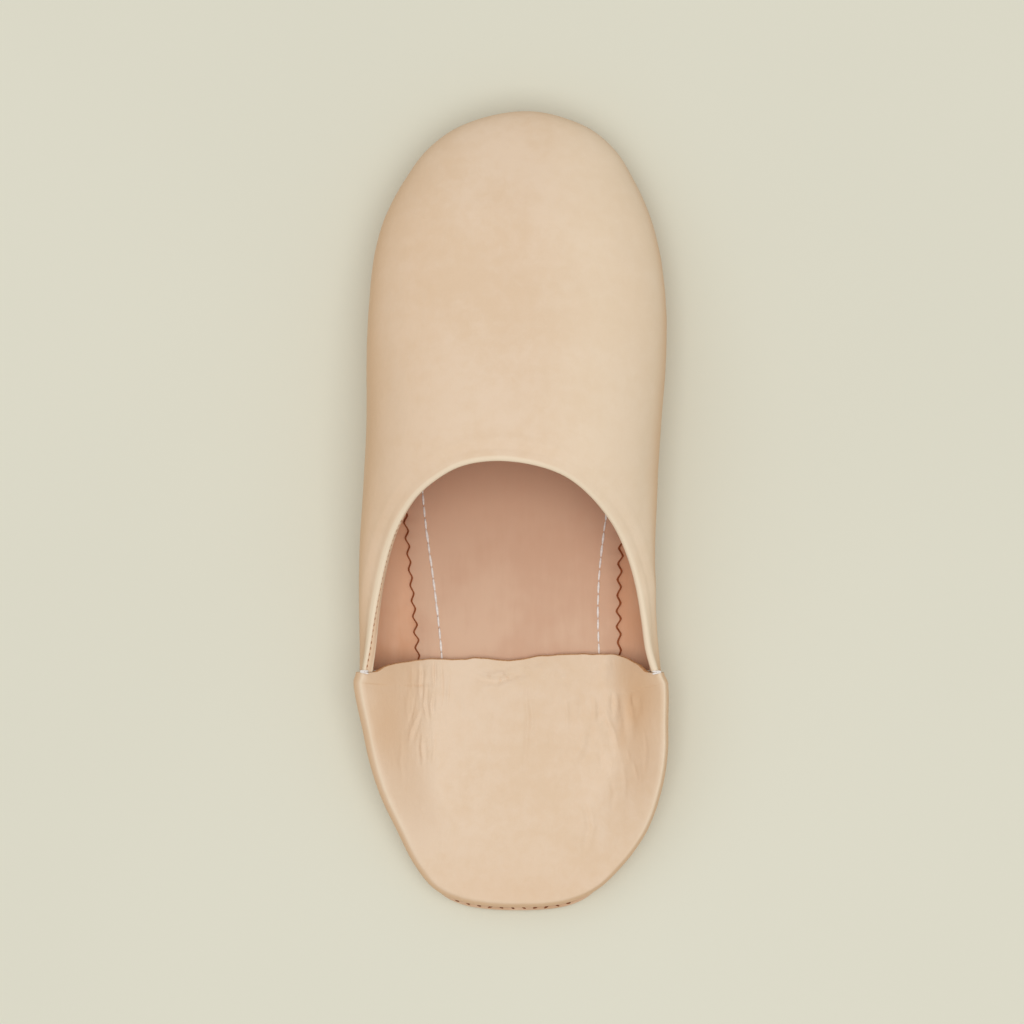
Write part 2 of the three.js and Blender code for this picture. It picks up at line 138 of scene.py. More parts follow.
# %% The wrapped socket
class Wire:
    """A socket of a node tree, or the bare tree, from which sums and other nodes are written."""

    def __init__(self, tree, socket=None):
        self.tree = tree
        self.socket = socket

    def node(self, kind, settings=None, inputs=None, output=0):
        """A new node: its settings first, then its sockets, and one of its outputs as a wire."""
        made = self.tree.nodes.new(kind)
        for key, value in (settings or {}).items():
            if key == "stops":
                for spot, (place, color) in enumerate(value):
                    element = made.color_ramp.elements
                    stop = element[spot] if spot < 2 else element.new(place)
                    stop.position = place
                    stop.color = color
            else:
                setattr(made, key, value)
        for key, value in (inputs or {}).items():
            if isinstance(value, Wire):
                self.tree.links.new(value.socket, made.inputs[key])
            else:
                made.inputs[key].default_value = value
        self.made = made
        return Wire(self.tree, made.outputs[output] if len(made.outputs) else None)

    def math(self, operation, *values, clamp=False):
        """A Math node on this wire and up to two more values."""
        places = dict(enumerate((self,) + values))
        settings = {"operation": operation, "use_clamp": clamp}
        return self.node("ShaderNodeMath", settings, places)

    def __add__(self, other):
        return self.math("ADD", other)

    def __radd__(self, other):
        return self.math("ADD", other)

    def __sub__(self, other):
        return self.math("SUBTRACT", other)

    def __rsub__(self, other):
        settings = {"operation": "SUBTRACT"}
        return self.node("ShaderNodeMath", settings, {0: other, 1: self})

    def __mul__(self, other):
        return self.math("MULTIPLY", other)

    def __rmul__(self, other):
        return self.math("MULTIPLY", other)

    def step(self, low, high, to_low=0.0, to_high=1.0):
        """This value taken smoothly from one range to another."""
        settings = {"interpolation_type": "SMOOTHSTEP"}
        places = {0: self, 1: low, 2: high, 3: to_low, 4: to_high}
        return self.node("ShaderNodeMapRange", settings, places)

    def tint(self, first, second):
        """A colour between two, with this value as the share of the second."""
        settings = {"data_type": "RGBA", "clamp_factor": True}
        return self.node("ShaderNodeMix", settings, {0: self, 6: first, 7: second}, output=2)


def start_material(name):
    """An empty material, its wire and the object coordinates in metres."""
    material = bpy.data.materials.new(name)
    material.use_nodes = True
    material.node_tree.nodes.clear()
    bare = Wire(material.node_tree)
    return material, bare, bare.node("ShaderNodeTexCoord", output="Object")


def noise(wire, coordinates, scale, detail=2.0, roughness=0.5, distortion=0.0):
    """Soft noise with that many lumps to the metre."""
    values = {"Vector": coordinates, "Scale": scale, "Detail": detail}
    values |= {"Roughness": roughness, "Distortion": distortion}
    return wire.node("ShaderNodeTexNoise", {"noise_dimensions": "3D"}, values, output=0)


def bump(wire, height, distance, strength=1.0, normal=None):
    """A relief that is only shaded, for what is finer than the mesh."""
    values = {"Height": height, "Distance": distance, "Strength": strength}
    if normal:
        values["Normal"] = normal
    return wire.node("ShaderNodeBump", {}, values)


def close_material(bare, values):
    """The surface shader and the output, with what varies linked and the rest set."""
    surface = bare.node("ShaderNodeBsdfPrincipled", {}, values)
    bare.node("ShaderNodeOutputMaterial", {}, {"Surface": surface})


# %% The floor
def make_floor_paper():
    material, bare, place = start_material("Floor paper")
    mottle = noise(bare, place, 3.0, 3.0)
    color = mottle.step(0.3, 0.7).tint(screen(221, 220, 205), screen(224, 223, 208))
    close_material(bare, {"Base Color": color, "Roughness": 0.9, "Specular IOR Level": 0.15})
    return material


floor_mesh = bpy.data.meshes.new("Floor")
corner = 3.0
floor_corners = [(-corner, -corner, 0), (corner, -corner, 0), (corner, corner, 0), (-corner, corner, 0)]
floor_mesh.from_pydata(floor_corners, [], [(0, 1, 2, 3)])
floor = bpy.data.objects.new("Floor", floor_mesh)
floor.data.materials.append(make_floor_paper())
bpy.context.scene.collection.objects.link(floor)

# %% [markdown]
# ## The last
#
# A slipper is sewn round a last, a wooden foot. All the pieces here follow one outline, as seen
# from above, and a few heights that change from heel to toe. These tables hold both, as shares of
# the length and of half the width at the ball, so the leather in this lesson has the shape that
# the CAD frame has, only finer. Every length from here on is in millimetres, from the heel end.

# %% Sizes of the slipper
LENGTH = 255.0
HALF_BALL = 47.5
THROAT_HEIGHT = 50.0
EAR_HEIGHT = 24.0
TOE_SPRING = 2.5
SOLE_THICKNESS = 3.5
FIT = 0.3
VAMP_WALL = 2.0
BACK_WALL = 1.8
BEND = 1.2
TURN_IN = 4.0
SOCK_INSET = 2.4
SOCK_THICKNESS = 1.2
MARGIN_BOTTOM = SOLE_THICKNESS + FIT
SOCK_BOTTOM = MARGIN_BOTTOM + VAMP_WALL + FIT
FLAP_TOP = SOCK_BOTTOM + SOCK_THICKNESS + FIT + BACK_WALL
FOLD_RADIUS = BACK_WALL + BEND
LEAST_TUCK = VAMP_WALL + BEND - FIT
SEAM_Y = 0.302 * LENGTH


def table(names, rows):
    """Rows of numbers as named columns."""
    return dict(zip(names.split(), np.array(rows, float).T))


# at, reach of the outer side, of the inner side, tuck of the outer wall, of the inner wall
OUTLINE = table("at outer inner tuck_outer tuck_inner", [
    (0.005, 0.0, 0.0, 0.0, 0.0),
    (0.0105, 0.345, 0.32, 0.0, 0.0),
    (0.0265, 0.55, 0.525, 0.01, 0.01),
    (0.058, 0.69, 0.705, 0.04, 0.04),
    (0.1, 0.8, 0.865, 0.1, 0.1),
    (0.15, 0.92, 0.965, 0.17, 0.15),
    (0.21, 1.007, 1.016, 0.24, 0.19),
    (0.26, 1.038, 0.996, 0.265, 0.18),
    (0.31, 1.046, 0.961, 0.265, 0.16),
    (0.38, 1.049, 0.931, 0.237, 0.14),
    (0.46, 1.042, 0.93, 0.19, 0.12),
    (0.54, 1.018, 0.95, 0.135, 0.1),
    (0.615, 1.0, 0.974, 0.09, 0.08),
    (0.69, 1.0, 1.0, 0.07, 0.07),
    (0.76, 0.988, 0.998, 0.06, 0.06),
    (0.82, 0.953, 0.962, 0.05, 0.05),
    (0.87, 0.872, 0.892, 0.04, 0.04),
    (0.915, 0.745, 0.78, 0.03, 0.03),
    (0.953, 0.595, 0.65, 0.025, 0.025),
    (0.983, 0.36, 0.44, 0.02, 0.02),
    (1.0, -0.06, 0.06, 0.02, 0.02),
])

# at, where the vamp's wall stands straight up, and the middle of its top
VAMP = table("at widest crown", [
    (0.28, 0.88, 0.55),
    (0.33, 0.87, 0.585),
    (0.38, 0.83, 0.64),
    (0.44, 0.77, 0.735),
    (0.5, 0.72, 0.88),
    (0.54, 0.7, 0.965),
    (0.57, 0.68, 1.0),
    (0.62, 0.66, 0.97),
    (0.7, 0.63, 0.88),
    (0.78, 0.58, 0.785),
    (0.86, 0.48, 0.685),
    (0.93, 0.4, 0.59),
    (1.0, 0.35, 0.5),
])

# at, reach of the collar's line on the outer side and on the inner one
COLLAR = table("at outer inner", [
    (0.22, 1.0, 0.995),
    (0.26, 1.02, 0.98),
    (0.298, 1.015, 0.955),
    (0.33, 0.986, 0.906),
    (0.37, 0.952, 0.873),
    (0.41, 0.908, 0.832),
    (0.45, 0.851, 0.768),
    (0.485, 0.775, 0.68),
    (0.52, 0.65, 0.535),
    (0.545, 0.485, 0.37),
    (0.56, 0.32, 0.16),
    (0.566, 0.1, -0.06),
])

# at, height of the heel back's fold
FOLD = table("at height", [
    (0.005, 0.05),
    (0.025, 0.08),
    (0.056, 0.17),
    (0.1, 0.36),
    (0.15, 0.57),
    (0.21, 0.78),
    (0.26, 0.92),
    (0.298, 1.0),
])

# across the flap's free edge, and how far it lies ahead of the seams
FLAP_EDGE = table("across ahead", [
    (-0.945, 0.0),
    (-0.895, 0.0045),
    (-0.82, 0.009),
    (-0.657, 0.0125),
    (-0.35, 0.015),
    (-0.04, 0.014),
    (0.27, 0.019),
    (0.58, 0.0215),
    (0.705, 0.018),
    (0.79, 0.011),
    (0.845, 0.005),
    (0.885, 0.0),
])

# %% [markdown]
# A table has few rows, so a smooth line goes through them, as a maker's curve does through pins.
# The outline is drawn through its corners in the same way and divided into even steps.


# %% Smooth lines through the tables
def read(rows, column, at):
    """A column at shares of the length, on a smooth line through the table."""
    places = rows["at"]
    values = rows[column]
    last = len(places) - 1
    slopes = np.gradient(values)
    spread = np.gradient(places)
    slopes = slopes / spread
    place = np.clip(at, places[0], places[last])
    i = np.clip(np.searchsorted(places, place) - 1, 0, last - 1)
    span = places[i + 1] - places[i]
    t = (place - places[i]) / span
    rise = values[i + 1] - values[i]
    a = slopes[i] * span - rise
    b = rise - slopes[i + 1] * span
    return values[i] + t * rise + t * (1 - t) * ((1 - t) * a + t * b)


def trace(corners, closed, steps=720):
    """A centripetal curve through corners, as evenly spaced points."""
    if closed:
        points = np.vstack([corners[-1:], corners, corners[:2]])
    else:
        points = np.vstack([2 * corners[:1] - corners[1:2], corners, 2 * corners[-1:] - corners[-2:-1]])
    fine = []
    for before, start, end, after in zip(points, points[1:], points[2:], points[3:]):
        first, middle, third = (
            math.sqrt(math.dist(p, q)) for p, q in ((before, start), (start, end), (end, after))
        )
        go = (start - before) / first - (end - before) / (first + middle) + (end - start) / middle
        come = (end - start) / middle - (after - start) / (middle + third) + (after - end) / third
        go = go * middle
        come = come * middle
        t = np.linspace(0, 1, 60, endpoint=False)[:, None]
        cubic = 2 * start - 2 * end + go + come
        square = 3 * end - 3 * start - 2 * go - come
        fine.append(start + go * t + square * t**2 + cubic * t**3)
    fine.append(points[-2][None])
    return spaced(np.vstack(fine), np.linspace(0, 1, steps + 1))


def spaced(line, shares):
    """Points of a line at shares of its length."""
    run = np.concatenate([[0], np.cumsum(np.linalg.norm(np.diff(line, axis=0), axis=1))])
    columns = [np.interp(np.asarray(shares) * run[-1], run, line[:, k]) for k in range(line.shape[1])]
    return np.stack(columns, axis=1)


def both_sides(rows):
    """A table of reaches as corners, up the outer side and down the inner one."""
    outer = np.stack([-rows["outer"] * HALF_BALL, rows["at"] * LENGTH], axis=1)
    inner = np.stack([rows["inner"] * HALF_BALL, rows["at"] * LENGTH], axis=1)
    return np.vstack([outer, inner[::-1][1:]])


STEPS = 720
outline = trace(both_sides(OUTLINE)[:-1], True, STEPS)
toe_step = int(np.argmax(outline[:, 1]))
step_length = math.dist(outline[0], outline[1])
print("outline:", round(step_length * STEPS), "mm round, toe tip", outline[toe_step].round(1))


# %% Places along the outline
def smooth(value, low, high):
    """A share from 0 to 1 that starts and ends gently."""
    t = np.clip((value - low) / (high - low), 0, 1)
    return t * t * (3 - 2 * t)


def along(step):
    """The outline's points at fractional steps, which may run past its ends."""
    place = np.mod(step, STEPS)
    whole = np.arange(STEPS + 1)
    return np.stack([np.interp(place, whole, outline[:, k]) for k in (0, 1)], axis=-1)


def outward(step):
    """The outward directions at steps, which are straight across at the side seams."""
    ahead = along(np.asarray(step) + 1.0) - along(np.asarray(step) - 1.0)
    normal = np.stack([-ahead[..., 1], ahead[..., 0]], axis=-1)
    normal /= np.linalg.norm(normal, axis=-1, keepdims=True)
    across = np.stack([np.sign(normal[..., 0]), np.zeros(normal.shape[:-1])], axis=-1)
    ease = 1 - smooth(np.abs(along(step)[..., 1] - SEAM_Y), 0, 18)
    normal = normal + (across - normal) * ease[..., None]
    return normal / np.linalg.norm(normal, axis=-1, keepdims=True)


def outer_step(y):
    """The step of the outer side at a place along the length."""
    return np.interp(y, outline[: toe_step + 1, 1], np.arange(toe_step + 1))


def inner_step(y):
    """The step of the inner side at a place along the length."""
    return np.interp(y, outline[toe_step:, 1][::-1], np.arange(toe_step, STEPS + 1)[::-1])


def tuck(step):
    """How far the foot of the wall lies in from the outline."""
    at = along(step)[..., 1] / LENGTH
    outer = read(OUTLINE, "tuck_outer", at)
    inner = read(OUTLINE, "tuck_inner", at)
    return LEAST_TUCK + HALF_BALL * np.where(np.mod(step, STEPS) < toe_step, outer, inner)


def wall_foot(step, out=0.0):
    """The foot of the wall, moved out by a distance."""
    return along(step) + outward(step) * (out - tuck(step))[..., None]


def lift(y):
    """The toe springs off the floor."""
    t = np.maximum((y / LENGTH - 0.78) / 0.22, 0)
    return TOE_SPRING * t * t


vamp_ends = [outer_step(SEAM_Y + FIT / 2), inner_step(SEAM_Y + FIT / 2)]
back_ends = [outer_step(SEAM_Y - FIT / 2), inner_step(SEAM_Y - FIT / 2) - STEPS]

# %% [markdown]
# The row frame has its origin under the middle of the slipper's box. The outline's own middle is
# laid over the middle of the CAD's box, which gives the small shift between the two.

# %% From the slipper's own sizes to the frame
vamp_low, vamp_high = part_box("upper_vamp")
shift_y = vamp_high.y * 1000 - outline[:, 1].max()
front = outline[int(vamp_ends[0]) : int(vamp_ends[1]) + 1]
shift_x = (vamp_low.x + vamp_high.x) * 500 - (front[:, 0].min() + front[:, 0].max()) / 2
SHIFT = np.array([shift_x, shift_y, 0.0])
print("shift to the frame, mm:", SHIFT.round(2))


def to_frame(points):
    """Points in millimetres from the heel as points in the row frame, in metres."""
    return (np.asarray(points) + SHIFT) / 1000


# %% [markdown]
# ## Ribs and shells
#
# The upper is laid out in ribs, as cloth on a boat's frame. Each one starts on the margin that is
# turned in under the foot, climbs the wall, and runs over the top to an edge. A rib is divided into
# rows by length, close together at the turned edges. All the ribs together are a grid, and the
# grid becomes a closed leather shell: its outer face, a rounded rim, and its inner face.


# %% Heights of the upper
def widest_height(y):
    """Where the vamp's wall stands straight up."""
    return MARGIN_BOTTOM + read(VAMP, "widest", y / LENGTH) * (EAR_HEIGHT - MARGIN_BOTTOM)


def vamp_height(points):
    """The vamp's top as a height over points inside the outline."""
    x, y = points[..., 0], points[..., 1]
    left = along(outer_step(y))[..., 0]
    right = along(inner_step(y))[..., 0]
    across = np.minimum(np.abs((2 * x - left - right) / np.maximum(right - left, 1e-6)), 1)
    nose = np.clip((y / LENGTH - 0.84) / 0.16, 0, 1)
    base = widest_height(y)
    crown = read(VAMP, "crown", y / LENGTH) * THROAT_HEIGHT - base
    roundness = (1 - nose**2.2) ** (1 / 2.2) * (1 - across**2.6) ** (1 / 2.2)
    return base + crown * roundness


def fold_point(step):
    """The line of the heel back's fold, a little proud of the outline at the two ears."""
    from_seam = np.minimum(back_ends[0] - step, step - back_ends[1]) * step_length
    ear = (1 - smooth(from_seam, 0, 22)) * (0.5 + 0.5 * smooth(from_seam, 0, 3.5))
    return along(step) + outward(step) * (2.0 * ear)[..., None]


def crest_width(x):
    """How far the fold's crest lies in from its line: the outer side leans in more."""
    return 1.8 - 0.65 * x / HALF_BALL


def fold_top(y):
    return FLAP_TOP + read(FOLD, "height", y / LENGTH) * (EAR_HEIGHT - FLAP_TOP)


fold_steps = np.linspace(back_ends[0], back_ends[1], 241)
fold_line = fold_point(fold_steps)
fold_tops = fold_top(fold_line[:, 1])
place = np.linspace(0, 1, 241)
uneven = 1.4 * np.sin(19 * place + 1.0) + 0.9 * np.sin(43 * place)
fold_valleys = tuck(fold_steps) + SOCK_INSET + 6.0 + uneven


def flap_height(points):
    """The folded heel back's top: over the fold, down beside the insole and flat on the sock."""
    shape = points.shape[:-1]
    flat = points.reshape(-1, 2)
    start = fold_line[:-1]
    stretch = fold_line[1:] - start
    share = ((flat[:, None] - start) * stretch).sum(-1) / (stretch**2).sum(-1)
    share = np.clip(share, 0, 1)
    gaps = np.linalg.norm(start + stretch * share[..., None] - flat[:, None], axis=-1)
    near = gaps.argmin(axis=1)
    pick = np.arange(len(flat))
    place = near + share[pick, near]
    distance = gaps[pick, near]
    whole = np.arange(len(fold_tops))
    top = np.interp(place, whole, fold_tops)
    valley = np.interp(place, whole, fold_valleys)
    low = 1 - np.clip((top - FLAP_TOP) / (EAR_HEIGHT - FLAP_TOP), 0, 1)
    valley = valley + 12 * low**3
    crest = crest_width(np.interp(place, whole, fold_line[:, 0]))
    over = np.clip(crest - distance, 0, crest) / crest
    bend = top - FOLD_RADIUS * (1 - (1 - over**1.45) ** (1 / 1.45))
    inside = np.maximum(distance - crest, 0)
    eased = np.where(inside < 1.6, inside**2 / 3.2, inside - 0.8)
    share = np.clip(eased / (valley - crest - 0.8), 0, 1)
    share = 0.4 * smooth(share, 0, 1) + 0.6 * (1 - (1 - share) ** 1.5)
    fall = top + (FLAP_TOP - top) * share
    return np.where(distance < crest, bend, fall).reshape(shape)


# %% Ribs and their rows
def with_height(points, height):
    return np.concatenate([points, np.broadcast_to(height, points.shape[:-1])[..., None]], axis=-1)


def make_ribs(steps, widest, widest_z, ends, height_over):
    """The margin, the wall and the top of every rib."""
    foot = wall_foot(steps)
    turn = np.linspace(0, math.pi / 2, 61)[None, :, None]
    wall = foot[:, None] + (widest - foot)[:, None] * np.sin(turn)
    rise = (widest_z - MARGIN_BOTTOM)[:, None] * (1 - np.cos(turn[..., 0]))
    wall = with_height(wall, MARGIN_BOTTOM + rise)
    t = np.linspace(0, 1, 181)[None, :, None] ** 2
    top = widest[:, None] + (ends - widest)[:, None] * t
    top = with_height(top, height_over(top))
    shares = np.array([-TURN_IN, -TURN_IN * 0.55, -TURN_IN * 0.2])
    margin = np.stack([wall_foot(steps, out) for out in shares], axis=1)
    margin = with_height(margin, MARGIN_BOTTOM)
    for part in (margin, wall, top):
        part[..., 2] += lift(part[..., 1])
    return margin, wall, top


def divide(line, lengths):
    """Points of a line at lengths along it, worked out from its whole length."""
    run = np.concatenate([[0], np.cumsum(np.linalg.norm(np.diff(line, axis=0), axis=1))])
    places = lengths(run[-1])
    return np.stack([np.interp(places, run, line[:, k]) for k in range(3)], axis=1)


def grid_normals(grid):
    """The outward normals of a grid of ribs and rows."""
    side = np.gradient(grid, axis=0)
    up = np.gradient(grid, axis=1)
    normals = np.cross(up, side)
    return normals / np.maximum(np.linalg.norm(normals, axis=-1, keepdims=True), 1e-12)


# %% [markdown]
# A crease in soft leather is a low rounded ridge or trough that starts and ends gently. Each one
# here is drawn along a short line, with its width and its height, and all that a place
# on the grid collects from them moves it along its normal. Waves with mixed directions add the
# slow unevenness of a hide.


# %% Creases and waves
def near_line(points, line):
    """Distance from points to a line seen from above, and the share of the line that is nearest."""
    line = np.asarray(line, float)
    start = line[:-1]
    stretch = line[1:] - start
    run = np.concatenate([[0], np.cumsum(np.linalg.norm(stretch, axis=1))])
    best = np.full(points.shape[:-1], np.inf)
    share = np.zeros(points.shape[:-1])
    for i in range(len(start)):
        size = math.dist(line[i], line[i + 1])
        t = np.clip(((points - start[i]) @ stretch[i]) / size**2, 0, 1)
        gap = np.linalg.norm(points - start[i] - t[..., None] * stretch[i], axis=-1)
        closer = gap < best
        best = np.where(closer, gap, best)
        share = np.where(closer, (run[i] + t * size) / run[-1], share)
    return best, share


def waves(points, size, seed, count=9):
    """A slow unevenness between -1 and 1, from waves with mixed directions."""
    mixed = np.random.default_rng(seed)
    total = np.zeros(points.shape[:-1])
    for _ in range(count):
        direction = mixed.normal(size=3)
        direction *= 2 * math.pi / size / np.linalg.norm(direction) * mixed.uniform(0.6, 1.5)
        total += np.sin(points @ direction + mixed.uniform(0, 2 * math.pi))
    return total / math.sqrt(count) / 1.6


def creases(points, drawn):
    """The height that the drawn creases give to points. Each has a line, a width and a height."""
    total = np.zeros(points.shape[:-1])
    strayed = np.stack([waves(points, 11.0, 21), waves(points, 11.0, 22)], axis=-1) * 0.3
    for line, width, height in drawn:
        gap, share = near_line(points[..., :2] + strayed, line)
        fade = np.sin(math.pi * share)
        total += height * fade * np.exp(-((gap / width / (0.6 + 0.4 * fade)) ** 2))
    return total


# %% A closed shell from a grid
def make_object(name, points, faces, materials):
    """A mesh object at the origin, whose points are already in the frame."""
    mesh = bpy.data.meshes.new(name)
    mesh.from_pydata(points.tolist(), [], faces)
    mesh.validate()
    made = bpy.data.objects.new(name, mesh)
    for material in materials:
        mesh.materials.append(material)
    bpy.context.scene.collection.objects.link(made)
    return made


def finish_mesh(made, angle=60):
    """Smooth shading, sharp only where faces meet at more than an angle."""
    mesh = made.data
    mesh.polygons.foreach_set("use_smooth", np.ones(len(mesh.polygons), bool))
    mesh.set_sharp_from_angle(angle=math.radians(angle))
    mesh.update()
    triangles = sum(len(p.vertices) - 2 for p in mesh.polygons)
    print(made.name, len(mesh.vertices), "points,", triangles, "triangles")
    return made


def shell_rings(outer, inner, inner_rows, rim_out, rim_rows=9, rim_low=0.0):
    """Each rib as a ring: up the outer face, round the rim and down the inner face."""
    middle = (outer[:, -1] + inner[:, -1]) / 2
    half = (outer[:, -1] - inner[:, -1]) / 2
    onward = np.cross(half, np.gradient(middle, axis=0))
    onward *= np.sign((onward * (outer[:, -1] - outer[:, -2])).sum())
    onward /= np.linalg.norm(onward, axis=-1, keepdims=True)
    turns = np.linspace(0, math.pi, rim_rows + 2)[1:-1]
    rim = [middle + half * math.cos(t) + onward * rim_out * math.sin(t) for t in turns]
    rim = np.stack(rim, axis=1) - onward[:, None] * np.expand_dims(rim_low, -1)
    return np.concatenate([outer, rim, inner[:, inner_rows][:, ::-1]], axis=1)


def shell_faces(ribs, size):
    """Quads between rings, and one flat face at each end."""
    k, i = np.meshgrid(np.arange(ribs - 1), np.arange(size), indexing="ij")
    a = k * size + i
    b = k * size + (i + 1) % size
    quads = np.stack([a, b, b + size, a + size], axis=-1).reshape(-1, 4).tolist()
    last = (ribs - 1) * size
    return quads + [list(range(size))[::-1], list(range(last, last + size))]


# %% [markdown]
# ## Leather
#
# Vegetable-tanned sheepskin is pale and smooth, with a very fine grain, faint blotches where it
# took up more oil, and a soft sheen. The grain is far finer than the mesh, so it is a bump. Two
# noises of different size tint the colour, because a hide is never one colour. Two marks on the
# mesh also paint light and shade into it: a darker, warmer painted shade on steep sides and in
# hollows, which also gives the collar's strip its colour, and a paler tint that is partly rubbed
# wear and partly painted highlight.


# %% Upper leather
def make_upper_leather(name, pale, warm, shade_and_strip_tint, rub_and_highlight_tint):
    material, bare, place = start_material(name)
    blotch = noise(bare, place, 22.0, 3.0, 0.55)
    cloud = noise(bare, place, 75.0, 2.0, 0.5)
    fleck = noise(bare, place, 300.0, 3.0, 0.6, 0.4)
    share = (blotch * 0.5 + cloud * 0.25 + fleck * 0.25).step(0.38, 0.64)
    color = share.tint(pale, warm)
    # A painted shade: a warmer, darker tint where the leather is steep, in hollows and on the left side, where less
    # light falls. On the collar's rim it also gives the turned strip its own colour.
    painted_shade_and_strip = bare.node("ShaderNodeAttribute", {"attribute_name": "painted_shade_and_strip"}, output="Fac")
    color = painted_shade_and_strip.tint(color, shade_and_strip_tint)
    # A paler tint: on the collar's rolled band it is partly rubbed wear and partly painted highlight, and on the
    # vamp's right half and the fold's crest it is painted light.
    rub_and_highlight = bare.node("ShaderNodeAttribute", {"attribute_name": "rub_and_highlight"}, output="Fac")
    color = rub_and_highlight.tint(color, rub_and_highlight_tint)
    grain = bare.node(
        "ShaderNodeTexVoronoi",
        {"feature": "SMOOTH_F1"},
        {"Vector": place, "Scale": 1500.0, "Smoothness": 0.6},
    )
    pores = noise(bare, place, 900.0, 3.0, 0.6)
    fibre = noise(bare, place, 260.0, 3.0, 0.6, 0.3)
    folded = bare.node("ShaderNodeAttribute", {"attribute_name": "folded"}, output="Fac")
    long_place = bare.node("ShaderNodeMapping", {}, {"Vector": place, "Scale": (1.0, 0.3, 1.0)})
    fine_folds = noise(bare, long_place, 330.0, 2.0, 0.55, 0.6)
    soft = bump(bare, fibre * 0.3 + fine_folds * folded, 0.0009, 0.55)
    fine = bump(bare, grain * 0.5 + pores * 0.5, 0.00006, 0.35, soft)
    rough = pores.step(0.3, 0.7, 0.5, 0.6)
    values = {"Base Color": color, "Roughness": rough, "Normal": fine}
    values |= {"Specular IOR Level": 0.32}
    close_material(bare, values)
    return material


# Its third colour is the painted shade and its fourth the paler colour of rubbed edges and painted highlights.
upper_leather = make_upper_leather(
    "Upper leather", screen(230, 206, 181), screen(225, 198, 169), screen(221, 185, 149), screen(238, 221, 196)
)


# %% Lining leather
def make_lining_leather(name, pale, warm, under_vamp_shade):
    material, bare, place = start_material(name)
    blotch = noise(bare, place, 40.0, 3.0, 0.6)
    streak_place = bare.node("ShaderNodeMapping", {}, {"Vector": place, "Scale": (1.0, 0.18, 1.0)})
    streak = noise(bare, streak_place, 420.0, 2.0, 0.6)
    share = (blotch * 0.8 + streak * 0.2).step(0.38, 0.64)
    color = share.tint(pale, warm)
    # Painted shade: darker towards the toe, under the vamp, where little light reaches.
    forward = bare.node("ShaderNodeSeparateXYZ", {}, {"Vector": place}, output=1)
    color = forward.step(-0.04, 0.03).tint(color, under_vamp_shade)
    pores = noise(bare, place, 1100.0, 3.0, 0.6)
    nap = noise(bare, place, 320.0, 2.0, 0.6)
    fine = bump(bare, pores * 0.6 + nap * 0.4, 0.00009, 0.4)
    values = {"Base Color": color, "Roughness": 0.68, "Normal": fine}
    values |= {"Specular IOR Level": 0.3}
    close_material(bare, values)
    return material


# The third colour of each is the painted shade under the vamp.
lining_leather = make_lining_leather(
    "Lining leather", screen(226, 181, 149), screen(218, 167, 132), screen(211, 156, 121)
)
sock_leather = make_lining_leather(
    "Sock leather", screen(218, 182, 155), screen(211, 171, 144), screen(204, 156, 127)
)


# %% Plain finishes for thread, holes and cut edges, the dark ones partly painted shade
def make_cut_edge(name, first, second, roughness):
    material, bare, place = start_material(name)
    fibre = noise(bare, place, 1300.0, 2.0, 0.6)
    color = fibre.step(0.35, 0.65).tint(first, second)
    fine = bump(bare, fibre, 0.0001, 0.5)
    values = {"Base Color": color, "Roughness": roughness, "Normal": fine}
    values["Specular IOR Level"] = 0.25
    close_material(bare, values)
    return material


# The sock's cut edge: its own brown, darkened as painted shade of the gap under the edge.
cut_edge_and_shade = make_cut_edge("Cut edge and shade", screen(170, 106, 68), screen(146, 86, 54), 0.8)
raw_edge = make_cut_edge("Raw edge", screen(214, 172, 128), screen(196, 148, 104), 0.75)
white_thread = make_cut_edge("White thread", screen(244, 238, 234), screen(228, 219, 214), 0.7)
brown_thread = make_cut_edge("Brown thread", screen(150, 88, 54), screen(120, 68, 42), 0.7)
# A needle hole is a small dark bead: the painted shade inside the hole.
needle_hole_shade = make_cut_edge("Needle hole shade", screen(112, 66, 44), screen(92, 52, 34), 0.9)
# Thread sunk in the collar's holes, darker than the lining as painted shade of the holes.
sunk_thread_and_hole_shade = make_cut_edge("Sunk thread and hole shade", screen(194, 142, 108), screen(168, 114, 84), 0.8)

# %% [markdown]
# ## The vamp
#
# The vamp covers the front of the foot. Its top edge, the collar, is turned over and sewn down
# inside, which leaves a rounded band that catches the light. It could be sculpted, but a grid of
# ribs keeps the rows parallel to the collar, so that the band, the ridge beside it and the line
# of stitches follow the edge exactly.

# %% The vamp's grid
VAMP_RIBS = 400
BAND = 2.6
BAND_HEIGHT = 0.18
NEAR_COLLAR = np.array([
    15, 13.4, 12, 10.8, 9.8, 8.9, 8.1, 7.4, 6.8, 6.2, 5.7, 5.2, 4.75, 4.3, 3.9, 3.5,
    3.15, 2.9, 2.65, 2.4, 2.1, 1.75, 1.35, 0.9, 0.45, 0.0,
])
VAMP_ROWS = 84


def meet_collar(centre, points, line):
    """Where rays from a centre towards points cross the collar's line."""
    ray = points - centre
    offset = line - centre
    side = ray[:, None, 0] * offset[None, :, 1] - ray[:, None, 1] * offset[None, :, 0]
    ahead = (offset[None] * ray[:, None]).sum(-1) > 0
    cross = (side[:, :-1] * side[:, 1:] <= 0) & (side[:, :-1] != side[:, 1:]) & ahead[:, 1:]
    first = cross.argmax(axis=1)
    pick = np.arange(len(points))
    share = side[pick, first] / (side[pick, first] - side[pick, first + 1])
    return line[first] + (line[first + 1] - line[first]) * share[:, None]


